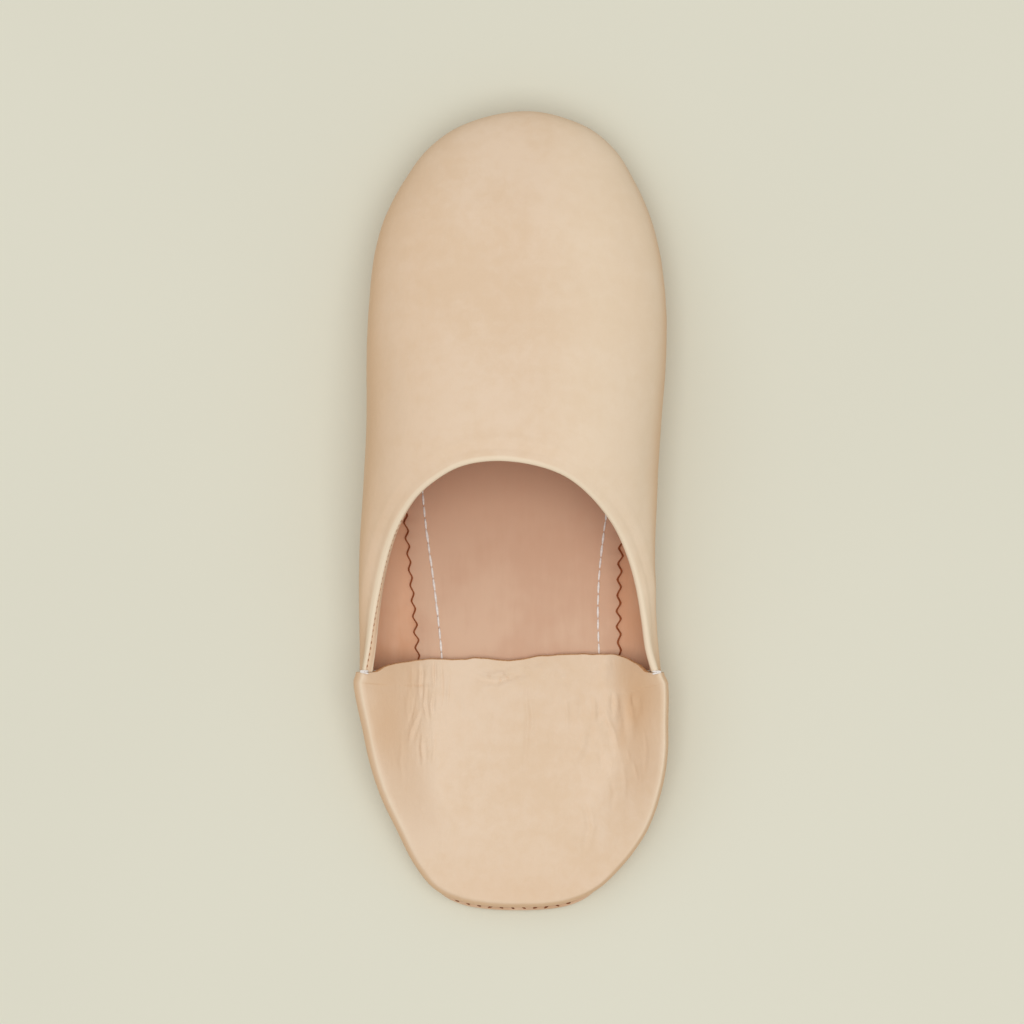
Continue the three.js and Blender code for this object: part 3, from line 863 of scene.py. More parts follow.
collar_line = trace(both_sides(COLLAR), False)
vamp_steps = np.linspace(vamp_ends[0], vamp_ends[1], VAMP_RIBS + 1)
vamp_widest = along(vamp_steps)
vamp_centre = along(np.array(vamp_ends)).mean(axis=0)
collar_points = meet_collar(vamp_centre, vamp_widest, collar_line)
beside_seam = 1 - smooth(vamp_widest[:, 1], SEAM_Y, SEAM_Y + 38)
vamp_widest_z = widest_height(vamp_widest[:, 1]) - 4.5 * beside_seam
margin, wall, top = make_ribs(vamp_steps, vamp_widest, vamp_widest_z, collar_points, vamp_height)
rise = np.linspace(0, 1, top.shape[1]) ** 1.7
upright = wall[:, -1:, 2] + (top[:, -1:, 2] - wall[:, -1:, 2]) * rise
top[..., 2] += (upright - top[..., 2]) * beside_seam[:, None]


def vamp_rows(total):
    shares = (np.arange(1, VAMP_ROWS + 1) / VAMP_ROWS) ** 1.15
    return np.concatenate([[0], (total - 15.8) * shares, total - NEAR_COLLAR])


ribs = [divide(np.vstack([w, t[1:]]), vamp_rows) for w, t in zip(wall, top)]
vamp_grid = np.concatenate([margin, np.stack(ribs)], axis=1)
from_collar = np.linalg.norm(np.diff(vamp_grid, axis=1), axis=-1)[:, ::-1].cumsum(axis=1)[:, ::-1]
from_collar = np.concatenate([from_collar, np.zeros((VAMP_RIBS + 1, 1))], axis=1)
print("vamp grid:", vamp_grid.shape[:2], "throat at", vamp_grid[VAMP_RIBS // 2, -1].round(1))

# %% [markdown]
# The relief of the vamp is slight: a shallow groove under the band, a faint ridge a finger's
# breadth from the collar where the turned edge ends below the leather, and slow waves over the toe.

# %% The vamp's relief
vamp_normals = grid_normals(vamp_grid)
for end in (0, -1):
    vamp_normals[end, :, 1] = 0
vamp_normals /= np.linalg.norm(vamp_normals, axis=-1, keepdims=True)
band = BAND_HEIGHT * (1 - smooth(from_collar, BAND - 1.3, BAND + 0.3))
VAMP_CREASES = [
    ([(-36, 150), (-41, 168), (-40, 190)], 5.0, -0.35),
    ([(40, 118), (42.5, 140), (43.5, 158)], 3.2, -0.45),
    ([(43.0, 96), (42.5, 112)], 3.0, 0.3),
    ([(41.5, 205), (33, 222)], 4.0, -0.3),
    ([(-8, 160), (6, 172), (22, 170)], 7.0, -0.22),
    ([(-24, 186), (-10, 196), (4, 199)], 8.0, 0.2),
    ([(12, 206), (24, 200)], 6.0, -0.2),
    ([(-46, 96), (-44, 116), (-38, 136)], 3.5, -0.25),
]
groove = -0.1 * np.exp(-(((from_collar - 3.3) / 0.8) ** 2))
ridge = 0.14 * np.exp(-(((from_collar - 6.2) / 1.1) ** 2))
on_top = smooth(vamp_grid[..., 2], 8, 16)
vamp_relief = groove + ridge + creases(vamp_grid, VAMP_CREASES) * on_top
vamp_relief += (0.16 * waves(vamp_grid, 46.0, 3) + 0.05 * waves(vamp_grid, 13.0, 4)) * on_top
vamp_relief *= smooth(from_collar, 0.3, 2.0)
vamp_relief[:, :3] = 0
print("vamp relief, mm:", vamp_relief.min().round(2), "to", vamp_relief.max().round(2))

# %% The vamp as a shell
row_count = vamp_grid.shape[1]
sparse = [0, 1, 2, 3] + list(range(6, row_count - len(NEAR_COLLAR), 3))
inner_rows = np.array(sparse + list(range(row_count - len(NEAR_COLLAR), row_count)))
turned_edge = 4.3  # the leather turned over the collar ends this far down inside
collar_at = vamp_grid[:, -1]
seen = smooth(140 - collar_at[:, 1], 0, 30) * smooth(-collar_at[:, 0], 5, 25)
wedge = 0.05 + 1.05 * np.clip((from_collar - 0.7) / 3.1, 0, 1) + 0.9 * seen[:, None]
inside_band = wedge * (1 - smooth(from_collar, turned_edge - 0.3, turned_edge + 0.2))
outer_face = vamp_grid + vamp_normals * (band + vamp_relief)[..., None]
inner_face = vamp_grid - vamp_normals * (VAMP_WALL + inside_band)[..., None]
RIM_ROWS = 15
rim_place = np.arange(RIM_ROWS)
strip = smooth(rim_place, 4, 6) * (1 - smooth(rim_place, 10.5, 12.5))
sewn = np.exp(-((rim_place - 5.4) / 0.8) ** 2)
rim_low = seen[:, None] * (0.25 * strip + 0.22 * sewn)
vamp_rings = shell_rings(outer_face, inner_face, inner_rows, 1.0, RIM_ROWS, rim_low)
ring_size = vamp_rings.shape[1]
vamp_faces = shell_faces(VAMP_RIBS + 1, ring_size)
vamp = make_object(
    "vamp_leather",
    to_frame(vamp_rings.reshape(-1, 3)),
    vamp_faces,
    [upper_leather, lining_leather],
)
inner_distance = np.concatenate(
    [np.zeros(row_count + RIM_ROWS), from_collar[VAMP_RIBS // 2][inner_rows][::-1]]
)
is_lining = inner_distance > turned_edge
slots = np.tile(is_lining, VAMP_RIBS).astype(np.int32)
slots = np.concatenate([slots, [0, 0]])
vamp.data.polygons.foreach_set("material_index", slots)


# %% Painted highlight and shade on the leather, with the collar strip's colour
def mark(made, name, outer, rim, inner):
    """A share for each point of a shell's rings, which a material reads."""
    rim = np.broadcast_to(rim, (len(outer), np.shape(rim)[-1]))
    shares = np.concatenate([outer, rim, inner], axis=1)
    attribute = made.data.attributes.new(name, "FLOAT", "POINT")
    attribute.data.foreach_set("value", shares.astype(np.float32).ravel())


# The paler tint: the collar's rolled band, partly rubbed and partly painted highlight, and painted light on the right
# half of the vamp's top, where the light falls.
roll_ends = (0.9 + 0.9 * seen)[:, None]
outer_rub_and_highlight = 0.75 * (1 - smooth(from_collar / roll_ends, 0.3, 1.0))
facing_up = smooth(vamp_normals[..., 2], 0.05, 0.6)
outer_rub_and_highlight = np.maximum(outer_rub_and_highlight, 0.4 * smooth(vamp_grid[..., 0], 0, 30) * facing_up)
pale_line = smooth(rim_place, 11, 12.5)
rim_rub_and_highlight = 0.85 - seen[:, None] * (0.85 * smooth(rim_place, 3.5, 5.5) - 0.8 * pale_line)
rim_rub_and_highlight = rim_rub_and_highlight - (1 - seen)[:, None] * 0.4 * smooth(rim_place, 6, 12)
inner_pale_line = 0.9 * np.exp(-(((from_collar - 3.7) / 0.4) ** 2))
mark(vamp, "rub_and_highlight", outer_rub_and_highlight, rim_rub_and_highlight, inner_pale_line[:, inner_rows][:, ::-1])
# Painted shade: steep sides are darker and warmer, less on the lit right side and at the toe, and the whole left side
# is darker.
steep = smooth(1 - vamp_normals[..., 2], 0.1, 0.85)
steep = steep * (1 - 0.8 * smooth(vamp_grid[..., 0], 5, 38) * facing_up) * (1 - 0.5 * smooth(vamp_grid[..., 1], 205, 245))
# On the rim the same tint gives the turned strip its own colour and paints shade along the sunk seam. Inside, the
# turned edge is painted darker, as shade.
rim_strip_and_seam_shade = seen[:, None] * (0.4 * strip + 0.5 * sewn)
inner_painted_shade = 0.75 * smooth(from_collar, 0.3, 0.9)
steep = np.clip(steep + 0.25 * smooth(-vamp_grid[..., 0], 10, 40), 0, 1)
mark(vamp, "painted_shade_and_strip", steep, rim_strip_and_seam_shade, inner_painted_shade[:, inner_rows][:, ::-1])
mark(vamp, "folded", 0.12 * np.ones_like(steep), 0 * rim_strip_and_seam_shade, 0.0 * inner_painted_shade[:, inner_rows])
finish_mesh(vamp)
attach(vamp, "root")
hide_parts("upper_vamp")

# %% [markdown]
# ## The heel back
#
# A babouche is worn with its back trodden down. The back climbs the wall, folds over itself and
# lies on the sock as a flap, flat in the middle and hollow beside the fold. The fold's own line is
# the rule here, so the height of the flap is worked out from the distance to it. The creases of
# the flap are drawn where the photograph shows them.

# %% The heel back's grid
BACK_RIBS = 400
flap_corners = np.stack(
    [FLAP_EDGE["across"] * HALF_BALL, SEAM_Y - FIT / 2 + FLAP_EDGE["ahead"] * LENGTH], axis=1
)
flap_edge = trace(flap_corners, False)
back_steps = np.linspace(back_ends[0], back_ends[1], BACK_RIBS + 1)
back_widest = fold_point(back_steps)
back_free = spaced(flap_edge, np.linspace(0, 1, BACK_RIBS + 1))
edge_fade = smooth(HALF_BALL - np.abs(back_free[:, 0]), 8, 18)
from_end = np.minimum(back_free[:, 0] - back_free[0, 0], back_free[-1, 0] - back_free[:, 0])
ahead = back_free[:, 1] - (SEAM_Y - FIT / 2)
back_free[:, 1] += ahead * (smooth(from_end, 0, 3.5) - 1)
edge_points = with_height(back_free, 0.0)
back_free[:, 1] += (0.4 * waves(edge_points, 15.0, 11) + 0.16 * waves(edge_points, 4.5, 12)) * edge_fade
margin, wall, top = make_ribs(
    back_steps, back_widest, fold_top(back_widest[:, 1]) - FOLD_RADIUS, back_free, flap_height
)


def even(rows):
    return lambda total: total * np.arange(1, rows + 1) / rows


def flap_rows(total):
    rows = 72
    close = np.array([3.2, 2.4, 1.6, 1.0, 0.55, 0.25, 0.0]) * min(1, total / 8)
    return np.concatenate([(total - close[0]) * np.arange(1, rows + 1) / rows, total - close[1:]])


ribs = []
for w, t in zip(wall, top):
    crest = int((np.linalg.norm(t[:, :2] - t[0, :2], axis=1) < 1.3 * crest_width(t[0, 0])).sum())
    first = w[:1]
    ribs.append(np.vstack([
        first, divide(w, even(26)), divide(t[: crest + 1], even(14)), divide(t[crest:], flap_rows),
    ]))
back_grid = np.concatenate([margin, np.stack(ribs)], axis=1)[::-1]
from_edge = np.linalg.norm(np.diff(back_grid, axis=1), axis=-1)[:, ::-1].cumsum(axis=1)[:, ::-1]
from_edge = np.concatenate([from_edge, np.zeros((BACK_RIBS + 1, 1))], axis=1)
curl = 0.3 * (1 + waves(back_grid, 24.0, 13)) * (1 - smooth(from_edge, 0, 9))
back_grid[..., 2] += np.clip(curl, 0, 0.7) * edge_fade[::-1, None]
print("heel back grid:", back_grid.shape[:2])

# %% The flap's creases
FLAP_CREASES = [
    ([(-31.0, 80.3), (-31.2, 73.0), (-30.9, 66.5)], 0.55, -0.4),
    ([(-30.1, 80.5), (-30.3, 73.0), (-30.0, 66.0)], 0.5, 0.32),
    ([(-30.3, 65.6), (-31.6, 62.2), (-33.8, 57.6), (-34.4, 52.5)], 0.6, -0.42),
    ([(-29.4, 65.4), (-30.7, 61.8), (-32.6, 57.4), (-33.2, 52.8)], 0.55, 0.34),
    ([(-25.9, 80.2), (-26.2, 76.0), (-26.0, 71.6)], 0.45, 0.46),
    ([(-26.8, 80.0), (-26.9, 75.0), (-26.6, 70.8)], 0.4, -0.4),
    ([(-24.4, 79.8), (-24.0, 74.0), (-23.8, 70.5), (-24.6, 65.5)], 0.45, -0.36),
    ([(-23.6, 78.0), (-23.2, 72.5), (-23.4, 68.0)], 0.5, 0.24),
    ([(-29.2, 73.0), (-29.7, 67.0), (-29.0, 63.8), (-28.4, 59.6)], 0.45, -0.4),
    ([(-28.5, 72.6), (-28.9, 67.0), (-28.1, 63.0), (-27.8, 59.0)], 0.45, 0.38),
    ([(-27.0, 70.6), (-27.6, 66.5), (-27.0, 61.0)], 0.4, -0.3),
    ([(-26.3, 70.0), (-26.8, 66.0), (-26.0, 62.4)], 0.4, 0.28),
    ([(-31.2, 57.0), (-31.4, 52.0), (-31.0, 46.0)], 0.5, 0.26),
    ([(-30.3, 57.5), (-30.5, 51.5), (-30.0, 46.4)], 0.45, -0.3),
    ([(-29.4, 55.6), (-29.1, 48.0)], 0.5, 0.24),
    ([(-34.5, 71.5), (-34.7, 66.0), (-34.4, 60.0)], 0.8, -0.16),
    ([(-33.4, 79.0), (-33.5, 71.0)], 0.6, -0.2),
    ([(-18.0, 76.4), (-12.0, 74.6), (-6.5, 73.5), (-1.0, 75.4), (6.0, 77.6)], 0.65, -0.75),
    ([(-15.0, 76.9), (-9.0, 75.4), (-4.5, 75.6), (1.5, 77.6)], 0.6, 0.6),
    ([(-12.0, 78.6), (-7.0, 77.2), (-2.0, 78.4)], 0.5, -0.4),
    ([(1.0, 78.2), (4.5, 77.0), (9.5, 79.4)], 0.5, 0.45),
    ([(-13.0, 73.2), (-6.0, 71.8), (2.0, 73.8), (9.0, 76.4)], 0.9, 0.45),
    ([(9.5, 75.3), (14.7, 73.4), (19.9, 75.8)], 0.6, -0.4),
    ([(10.5, 76.8), (15.0, 75.0), (19.0, 77.0)], 0.5, 0.34),
    ([(2.2, 75.3), (3.2, 62.8), (3.0, 54.5), (2.2, 42.0)], 0.8, 0.3),
    ([(3.6, 74.6), (4.5, 62.0), (4.3, 50.0)], 0.7, -0.22),
    ([(20.0, 69.8), (20.6, 65.0), (20.0, 61.5)], 1.3, 0.4),
    ([(26.0, 68.5), (26.1, 63.5), (25.8, 59.4)], 0.7, 0.38),
    ([(24.6, 69.5), (24.9, 63.5), (24.4, 59.8)], 0.6, -0.3),
    ([(31.2, 70.6), (31.6, 66.6), (31.4, 61.0)], 1.0, -0.52),
    ([(30.2, 71.0), (30.3, 66.5), (30.6, 62.4)], 0.55, 0.4),
    ([(33.2, 72.0), (33.6, 65.6), (34.6, 60.5), (34.2, 56.0)], 1.1, 0.45),
    ([(35.9, 70.5), (36.4, 65.5), (36.9, 61.0), (36.4, 54.0)], 1.5, -0.5),
    ([(36.9, 70.0), (37.1, 65.4)], 0.45, 0.3),
    ([(38.6, 71.0), (39.0, 66.5), (38.8, 61.8)], 0.8, -0.2),
    ([(28.4, 66.0), (29.2, 61.0), (30.6, 57.0), (32.6, 51.0)], 0.8, -0.44),
    ([(26.4, 65.0), (27.6, 60.0), (29.0, 55.6), (30.8, 50.6), (31.0, 46.0)], 1.6, 0.45),
    ([(22.8, 62.5), (21.6, 57.0), (20.6, 52.0), (17.5, 47.5), (12.0, 42.0)], 1.1, -0.34),
    ([(24.6, 61.5), (23.6, 56.5), (22.6, 52.0), (19.6, 46.6)], 1.0, 0.3),
    ([(36.6, 49.4), (37.8, 45.2), (38.8, 41.4)], 0.6, -0.26),
    ([(35.2, 53.0), (36.2, 47.0)], 0.5, -0.22),
    ([(26.1, 55.5), (27.2, 44.1)], 0.9, 0.26),
    ([(20.9, 35.6), (23.0, 27.3), (20.6, 19.0)], 0.8, 0.32),
    ([(22.6, 36.0), (24.6, 27.3), (22.4, 18.4)], 0.8, -0.26),
    ([(-21.6, 79.0), (-21.9, 72.0), (-22.6, 64.0)], 0.4, -0.24),
    ([(-32.4, 70.0), (-32.8, 64.0), (-35.4, 58.0)], 0.45, 0.26),
    ([(-27.2, 58.6), (-26.4, 53.0), (-27.4, 47.0)], 0.5, -0.26),
    ([(-36.4, 56.0), (-36.8, 48.0), (-36.0, 42.0)], 0.6, -0.2),
    ([(-18.0, 70.0), (-17.4, 60.0)], 1.0, 0.2),
    ([(15.6, 70.0), (16.2, 61.0), (15.4, 54.0)], 0.5, -0.24),
    ([(17.0, 69.0), (17.4, 60.0)], 0.5, 0.22),
    ([(33.4, 50.0), (34.6, 42.0), (33.6, 34.0)], 0.7, -0.24),
    ([(29.0, 46.0), (30.6, 38.0), (30.0, 30.0)], 0.7, 0.22),
    ([(40.4, 60.0), (41.2, 52.0), (40.8, 44.0)], 0.6, -0.22),
    ([(-8.0, 66.0), (-9.4, 56.0)], 0.6, -0.2),
    ([(-14.0, 50.0), (-12.0, 40.0)], 2.0, -0.16),
    ([(-6.0, 58.0), (-7.5, 46.0)], 1.2, 0.16),
    ([(10.0, 62.0), (8.5, 50.0)], 1.2, -0.16),
    ([(4.0, 30.0), (14.0, 24.0), (24.0, 22.0)], 2.2, -0.2),
    ([(-22.0, 26.0), (-10.0, 20.0), (4.0, 18.0)], 2.4, 0.18),
    ([(-26.0, 36.0), (-14.0, 31.0)], 1.6, -0.18),
]
back_normals = grid_normals(back_grid)
for end in (0, -1):
    back_normals[end, :, 1] = 0
back_normals /= np.linalg.norm(back_normals, axis=-1, keepdims=True)
# The flap lies nearly along its own edge by the seams, so there its normals come from its height.
flat = back_grid[:, 46:, :2]
slopes = [flap_height(flat + step) - flap_height(flat - step) for step in ((0.2, 0.0), (0.0, 0.2))]
from_height = np.stack([-slopes[0], -slopes[1], np.full(flat.shape[:2], 0.4)], axis=-1)
back_normals[:, 46:] = from_height / np.linalg.norm(from_height, axis=-1, keepdims=True)
row_index = np.arange(back_grid.shape[1])[None, :]
on_flap = smooth(row_index, 36, 46) * np.ones((BACK_RIBS + 1, 1))
back_relief = 0.95 * creases(back_grid, FLAP_CREASES) * on_flap
back_relief += 0.12 * waves(back_grid, 34.0, 7) * on_flap + 0.045 * waves(back_grid, 9.0, 8)
back_relief[:, :4] = 0
print("flap relief, mm:", back_relief.min().round(2), "to", back_relief.max().round(2))

# %% The heel back as a shell
back_rows = back_grid.shape[1]
inner_rows = np.array([0, 1, 2, 3] + list(range(5, back_rows - 6, 2)) + list(range(back_rows - 6, back_rows)))
outer_face = back_grid + back_normals * back_relief[..., None]
inner_face = back_grid - back_normals * BACK_WALL
back_rings = shell_rings(outer_face, inner_face, inner_rows, 0.35)
back_faces = shell_faces(BACK_RIBS + 1, back_rings.shape[1])
heel_back = make_object(
    "heel_back_leather",
    to_frame(back_rings.reshape(-1, 3)),
    back_faces,
    [upper_leather, lining_leather],
)
ring_place = np.arange(back_rings.shape[1])
slots = np.where(ring_place >= back_rows + 7, 1, np.where(ring_place >= back_rows - 1, 2, 0))
slots = np.tile(slots, BACK_RIBS).astype(np.int32)
heel_back.data.materials.append(raw_edge)
heel_back.data.polygons.foreach_set("material_index", np.concatenate([slots, [0, 0]]))
from_fold = near_line(back_grid[..., :2], fold_line)[0]
over = smooth(row_index, 30, 36)
on_crest = np.exp(-(((from_fold - crest_width(back_grid[..., 0])) / 0.45) ** 2)) * over
inside = np.zeros((BACK_RIBS + 1, len(inner_rows)))
rim = np.zeros(9)
# The fold's crest gets a painted highlight, which the paler tint carries.
mark(heel_back, "rub_and_highlight", 0.45 * on_crest * smooth(back_grid[..., 1], 12, 34), rim, inside)
# Painted shade on the slopes of the fold and the flap. The patches darken the valleys beside the fold and the hollows
# between creases, as painted shade, and the wide one darkens the heel end.
steep = smooth(1 - back_normals[..., 2], 0.0, 0.5) * (1 - on_crest)
PATCHES = [(-42.0, 62.0, 6.0, 15.0, 0.4), (39.0, 66.0, 5.0, 11.0, 0.4), (-33.5, 73.0, 2.4, 9.0, 0.25)]
PATCHES += [(0.0, 0.0, 44.0, 16.0, 0.35), (37.2, 65.5, 2.2, 4.0, 0.5), (33.6, 56.0, 1.4, 6.0, 0.35)]
patches = sum(
    strength * np.exp(-((back_grid[..., 0] - x) / wide) ** 2 - ((back_grid[..., 1] - y) / long) ** 2)
    for x, y, wide, long, strength in PATCHES
)
mark(heel_back, "painted_shade_and_strip", np.clip(steep + patches * on_flap, 0, 1), rim + 0.4, inside)
wrinkled = np.exp(-(((np.abs(back_grid[..., 0]) - 29) / 6) ** 2)) * smooth(back_grid[..., 1], 38, 52)
mark(heel_back, "folded", (0.22 + 0.6 * wrinkled) * on_flap, rim, inside)
finish_mesh(heel_back)
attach(heel_back, "root")
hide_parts("upper_back")

# %% [markdown]
# ## The sock and its pinked edge
#
# The sock is a thin leather that covers the inside of the sole. Its edge is cut with pinking
# shears, in small teeth, so that it can't fray or show a step. The teeth repeat by a rule, so
# Geometry Nodes cut them: each point of the edge knows how far along the edge it lies, and a
# zigzag of that length moves it in or out.


# %% A grouped tree with named inputs
def start_tree(name, inputs):
    """An empty Geometry Nodes tree with a mesh in and out and its named sizes."""
    tree = bpy.data.node_groups.new(name, "GeometryNodeTree")
    tree.interface.new_socket("Mesh", in_out="INPUT", socket_type="NodeSocketGeometry")
    for label, kind in inputs:
        tree.interface.new_socket(label, in_out="INPUT", socket_type=kind)
    tree.interface.new_socket("Mesh", in_out="OUTPUT", socket_type="NodeSocketGeometry")
    bare = Wire(tree)
    bare.node("NodeGroupInput")
    entry = bare.made
    wires = {item.name: Wire(tree, entry.outputs[item.name]) for item in tree.interface.items_tree
             if item.in_out == "INPUT"}
    return tree, bare, wires


def close_tree(bare, geometry, material):
    """Realise what is repeated, give it its material and end the tree."""
    geometry = bare.node("GeometryNodeRealizeInstances", {}, {"Geometry": geometry})
    values = {"Geometry": geometry, "Material": material}
    geometry = bare.node("GeometryNodeSetMaterial", {}, values)
    bare.node("NodeGroupOutput", {}, {"Mesh": geometry})


def apply_tree(made, tree, values):
    """The object's mesh after the tree, with the tree's inputs set before it first runs."""
    modifier = made.modifiers.new("Nodes", "NODES")
    modifier.node_group = tree
    for item in tree.interface.items_tree:
        if item.in_out == "INPUT" and item.name in values:
            modifier[item.identifier] = values[item.name]
    graph = bpy.context.evaluated_depsgraph_get()
    result = bpy.data.meshes.new_from_object(made.evaluated_get(graph), depsgraph=graph)
    made.modifiers.remove(modifier)
    before = made.data
    made.data = result
    result.name = made.name
    bpy.data.meshes.remove(before)
    return made


# %% The tree that cuts the teeth
def make_pinking_tree():
    sizes = [("Pitch", "NodeSocketFloat"), ("Depth", "NodeSocketFloat"), ("Material", "NodeSocketMaterial")]
    tree, bare, wires = start_tree("Pinked edge", sizes)
    run = bare.node("GeometryNodeInputNamedAttribute", {"data_type": "FLOAT"}, {"Name": "run"})
    edge = bare.node("GeometryNodeInputNamedAttribute", {"data_type": "FLOAT"}, {"Name": "edge"})
    out = bare.node("GeometryNodeInputNamedAttribute", {"data_type": "FLOAT_VECTOR"}, {"Name": "out"})
    tooth = run.math("PINGPONG", wires["Pitch"] * 0.5)
    share = tooth.math("DIVIDE", wires["Pitch"] * 0.5).step(-0.12, 1.12) - 0.5
    place = bare.node("GeometryNodeInputPosition")
    uneven = noise(bare, place, 90.0, 1.0).step(0.3, 0.7, 0.75, 1.2)
    reach = share * wires["Depth"] * uneven * edge
    offset = bare.node("ShaderNodeVectorMath", {"operation": "SCALE"}, {0: out, "Scale": reach})
    values = {"Geometry": wires["Mesh"], "Offset": offset}
    moved = bare.node("GeometryNodeSetPosition", {}, values)
    close_tree(bare, moved, wires["Material"])
    return tree


def plate_rings(steps, levels):
    """Rings of a flat piece cut to the sole's shape: each level has a height and a reach."""
    rings = []
    for height, reach in levels:
        points = wall_foot(steps, np.broadcast_to(reach, steps.shape))
        rings.append(with_height(points, height + lift(points[:, 1])))
    return np.stack(rings)


def plate_faces(count, levels, columns_top, columns_bottom):
    """Quads down the edge. The top and bottom are left open, to be closed by rungs from side to side."""
    k, i = np.meshgrid(np.arange(levels - 1), np.arange(count), indexing="ij")
    a = k * count + i
    b = k * count + (i + 1) % count
    return np.stack([a, a + count, b + count, b], axis=-1).reshape(-1, 4).tolist()


# %% The sock
# The two sides get the same number of points, so that rungs can join them.
SIDE = 600
half_outer = np.linspace(0, toe_step, SIDE + 1)
half_inner = np.linspace(toe_step, STEPS, SIDE + 1)[1:-1]
edge_steps = np.concatenate([half_outer, half_inner])
count = len(edge_steps)
SOCK_TOP = SOCK_BOTTOM + SOCK_THICKNESS
sock_rings = plate_rings(edge_steps, [
    (SOCK_TOP + 0.0, -SOCK_INSET - 5.0),
    (SOCK_TOP, -SOCK_INSET - 0.55),
    (SOCK_TOP - 0.1, -SOCK_INSET - 0.32),
    (SOCK_BOTTOM + 0.05, -SOCK_INSET + 0.3),
    (SOCK_BOTTOM, -SOCK_INSET - 0.1),
])


def rungs(start, count, side, upward):
    """Quads that join the two sides of a ring, for a top that faces up or a bottom that faces down."""
    faces = []
    for i in range(side):
        a, b = start + i, start + i + 1
        c, d = start + (count - i - 1) % count, start + (count - i) % count
        face = [p for p in (a, b, c, d)]
        face = [p for k, p in enumerate(face) if p != face[k - 1]]
        if len(set(face)) > 2:
            faces.append(face[::-1] if upward else face)
    return faces


sock_points = sock_rings.reshape(-1, 3)
sock_faces = plate_faces(count, len(sock_rings), 0, 0)
sock_faces += rungs(0, count, SIDE, True) + rungs((len(sock_rings) - 1) * count, count, SIDE, False)
sock = make_object("sock_leather", to_frame(sock_points), sock_faces, [sock_leather])
foot_line = wall_foot(edge_steps, np.full(count, -SOCK_INSET))
run = np.concatenate([[0], np.cumsum(np.linalg.norm(np.diff(foot_line, axis=0), axis=1))])
around = run[-1] + math.dist(foot_line[-1], foot_line[0])
teeth = round(around / 5.0)
for name, kind, values in (
    ("run", "FLOAT", np.tile(run, len(sock_rings)) / 1000),
    ("edge", "FLOAT", np.repeat([0.0, 1.0, 1.0, 1.0, 1.0], count)),
):
    attribute = sock.data.attributes.new(name, kind, "POINT")
    attribute.data.foreach_set("value", values.astype(np.float32))
directions = with_height(outward(edge_steps), 0.0)
attribute = sock.data.attributes.new("out", "FLOAT_VECTOR", "POINT")
attribute.data.foreach_set("vector", np.tile(directions, (len(sock_rings), 1)).astype(np.float32).ravel())
sock = apply_tree(sock, make_pinking_tree(), {
    "Pitch": around / teeth / 1000, "Depth": 0.0013, "Material": sock_leather,
})
# The side of the pinked edge, seen from above as a thin dark line, takes the cut-edge finish, partly painted shade.
sock.data.materials.append(cut_edge_and_shade)
sock_slots = np.zeros(len(sock.data.polygons), np.int32)
sock_slots[2 * count : 3 * count] = 1
sock.data.polygons.foreach_set("material_index", sock_slots)
print("sock:", teeth, "teeth of", round(around / teeth, 2), "mm")
finish_mesh(sock, 40)
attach(sock, "root")
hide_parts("sock")

# %% [markdown]
# ## Stitches
#
# A row of stitches is one small shape repeated along a path at a fixed pitch, which is what
# Geometry Nodes are for. Each path carries the direction that faces away from the leather, so that
# a stitch lies flat on it wherever it is. A seeded turn and size keep the row from looking
# machine-printed.


# %% The tree that sews a row
def make_stitch_tree():
    sizes = [("Pitch", "NodeSocketFloat"), ("Stitch", "NodeSocketVector"), ("Sway", "NodeSocketFloat")]
    sizes += [("Seed", "NodeSocketInt"), ("Material", "NodeSocketMaterial")]
    tree, bare, wires = start_tree("Row of stitches", sizes)
    path = bare.node("GeometryNodeMeshToCurve", {}, {"Mesh": wires["Mesh"]})
    row = bare.node("GeometryNodeResampleCurve", {"mode": "LENGTH"}, {"Curve": path, "Length": wires["Pitch"]})
    bead = bare.node("GeometryNodeMeshUVSphere", {}, {"Segments": 8, "Rings": 6, "Radius": 0.5})
    bead = bare.node("GeometryNodeSetShadeSmooth", {}, {"Geometry": bead})
    facing = bare.node("GeometryNodeInputNamedAttribute", {"data_type": "FLOAT_VECTOR"}, {"Name": "up"})
    tangent = bare.node("GeometryNodeInputTangent")
    turn = bare.node("FunctionNodeAlignRotationToVector", {"axis": "X"}, {"Vector": tangent})
    values = {"Rotation": turn, "Vector": facing}
    turn = bare.node("FunctionNodeAlignRotationToVector", {"axis": "Z", "pivot_axis": "X"}, values)
    chance = bare.node("FunctionNodeRandomValue", {"data_type": "FLOAT"}, {2: 0.86, 3: 1.12, 8: wires["Seed"]}, output=1)
    size = bare.node("ShaderNodeVectorMath", {"operation": "SCALE"}, {0: wires["Stitch"], "Scale": chance})
    values = {"Points": row, "Instance": bead, "Rotation": turn, "Scale": size}
    sewn = bare.node("GeometryNodeInstanceOnPoints", {}, values)
    swing = bare.node("FunctionNodeRandomValue", {"data_type": "FLOAT"}, {2: -1.0, 3: 1.0, 8: wires["Seed"]}, output=1)
    angle = swing * wires["Sway"]
    spin = bare.node("ShaderNodeCombineXYZ", {}, {"Z": angle})
    values = {"Instances": sewn, "Rotation": spin, "Local Space": True}
    sewn = bare.node("GeometryNodeRotateInstances", {}, values)
    close_tree(bare, sewn, wires["Material"])
    return tree


stitch_tree = make_stitch_tree()


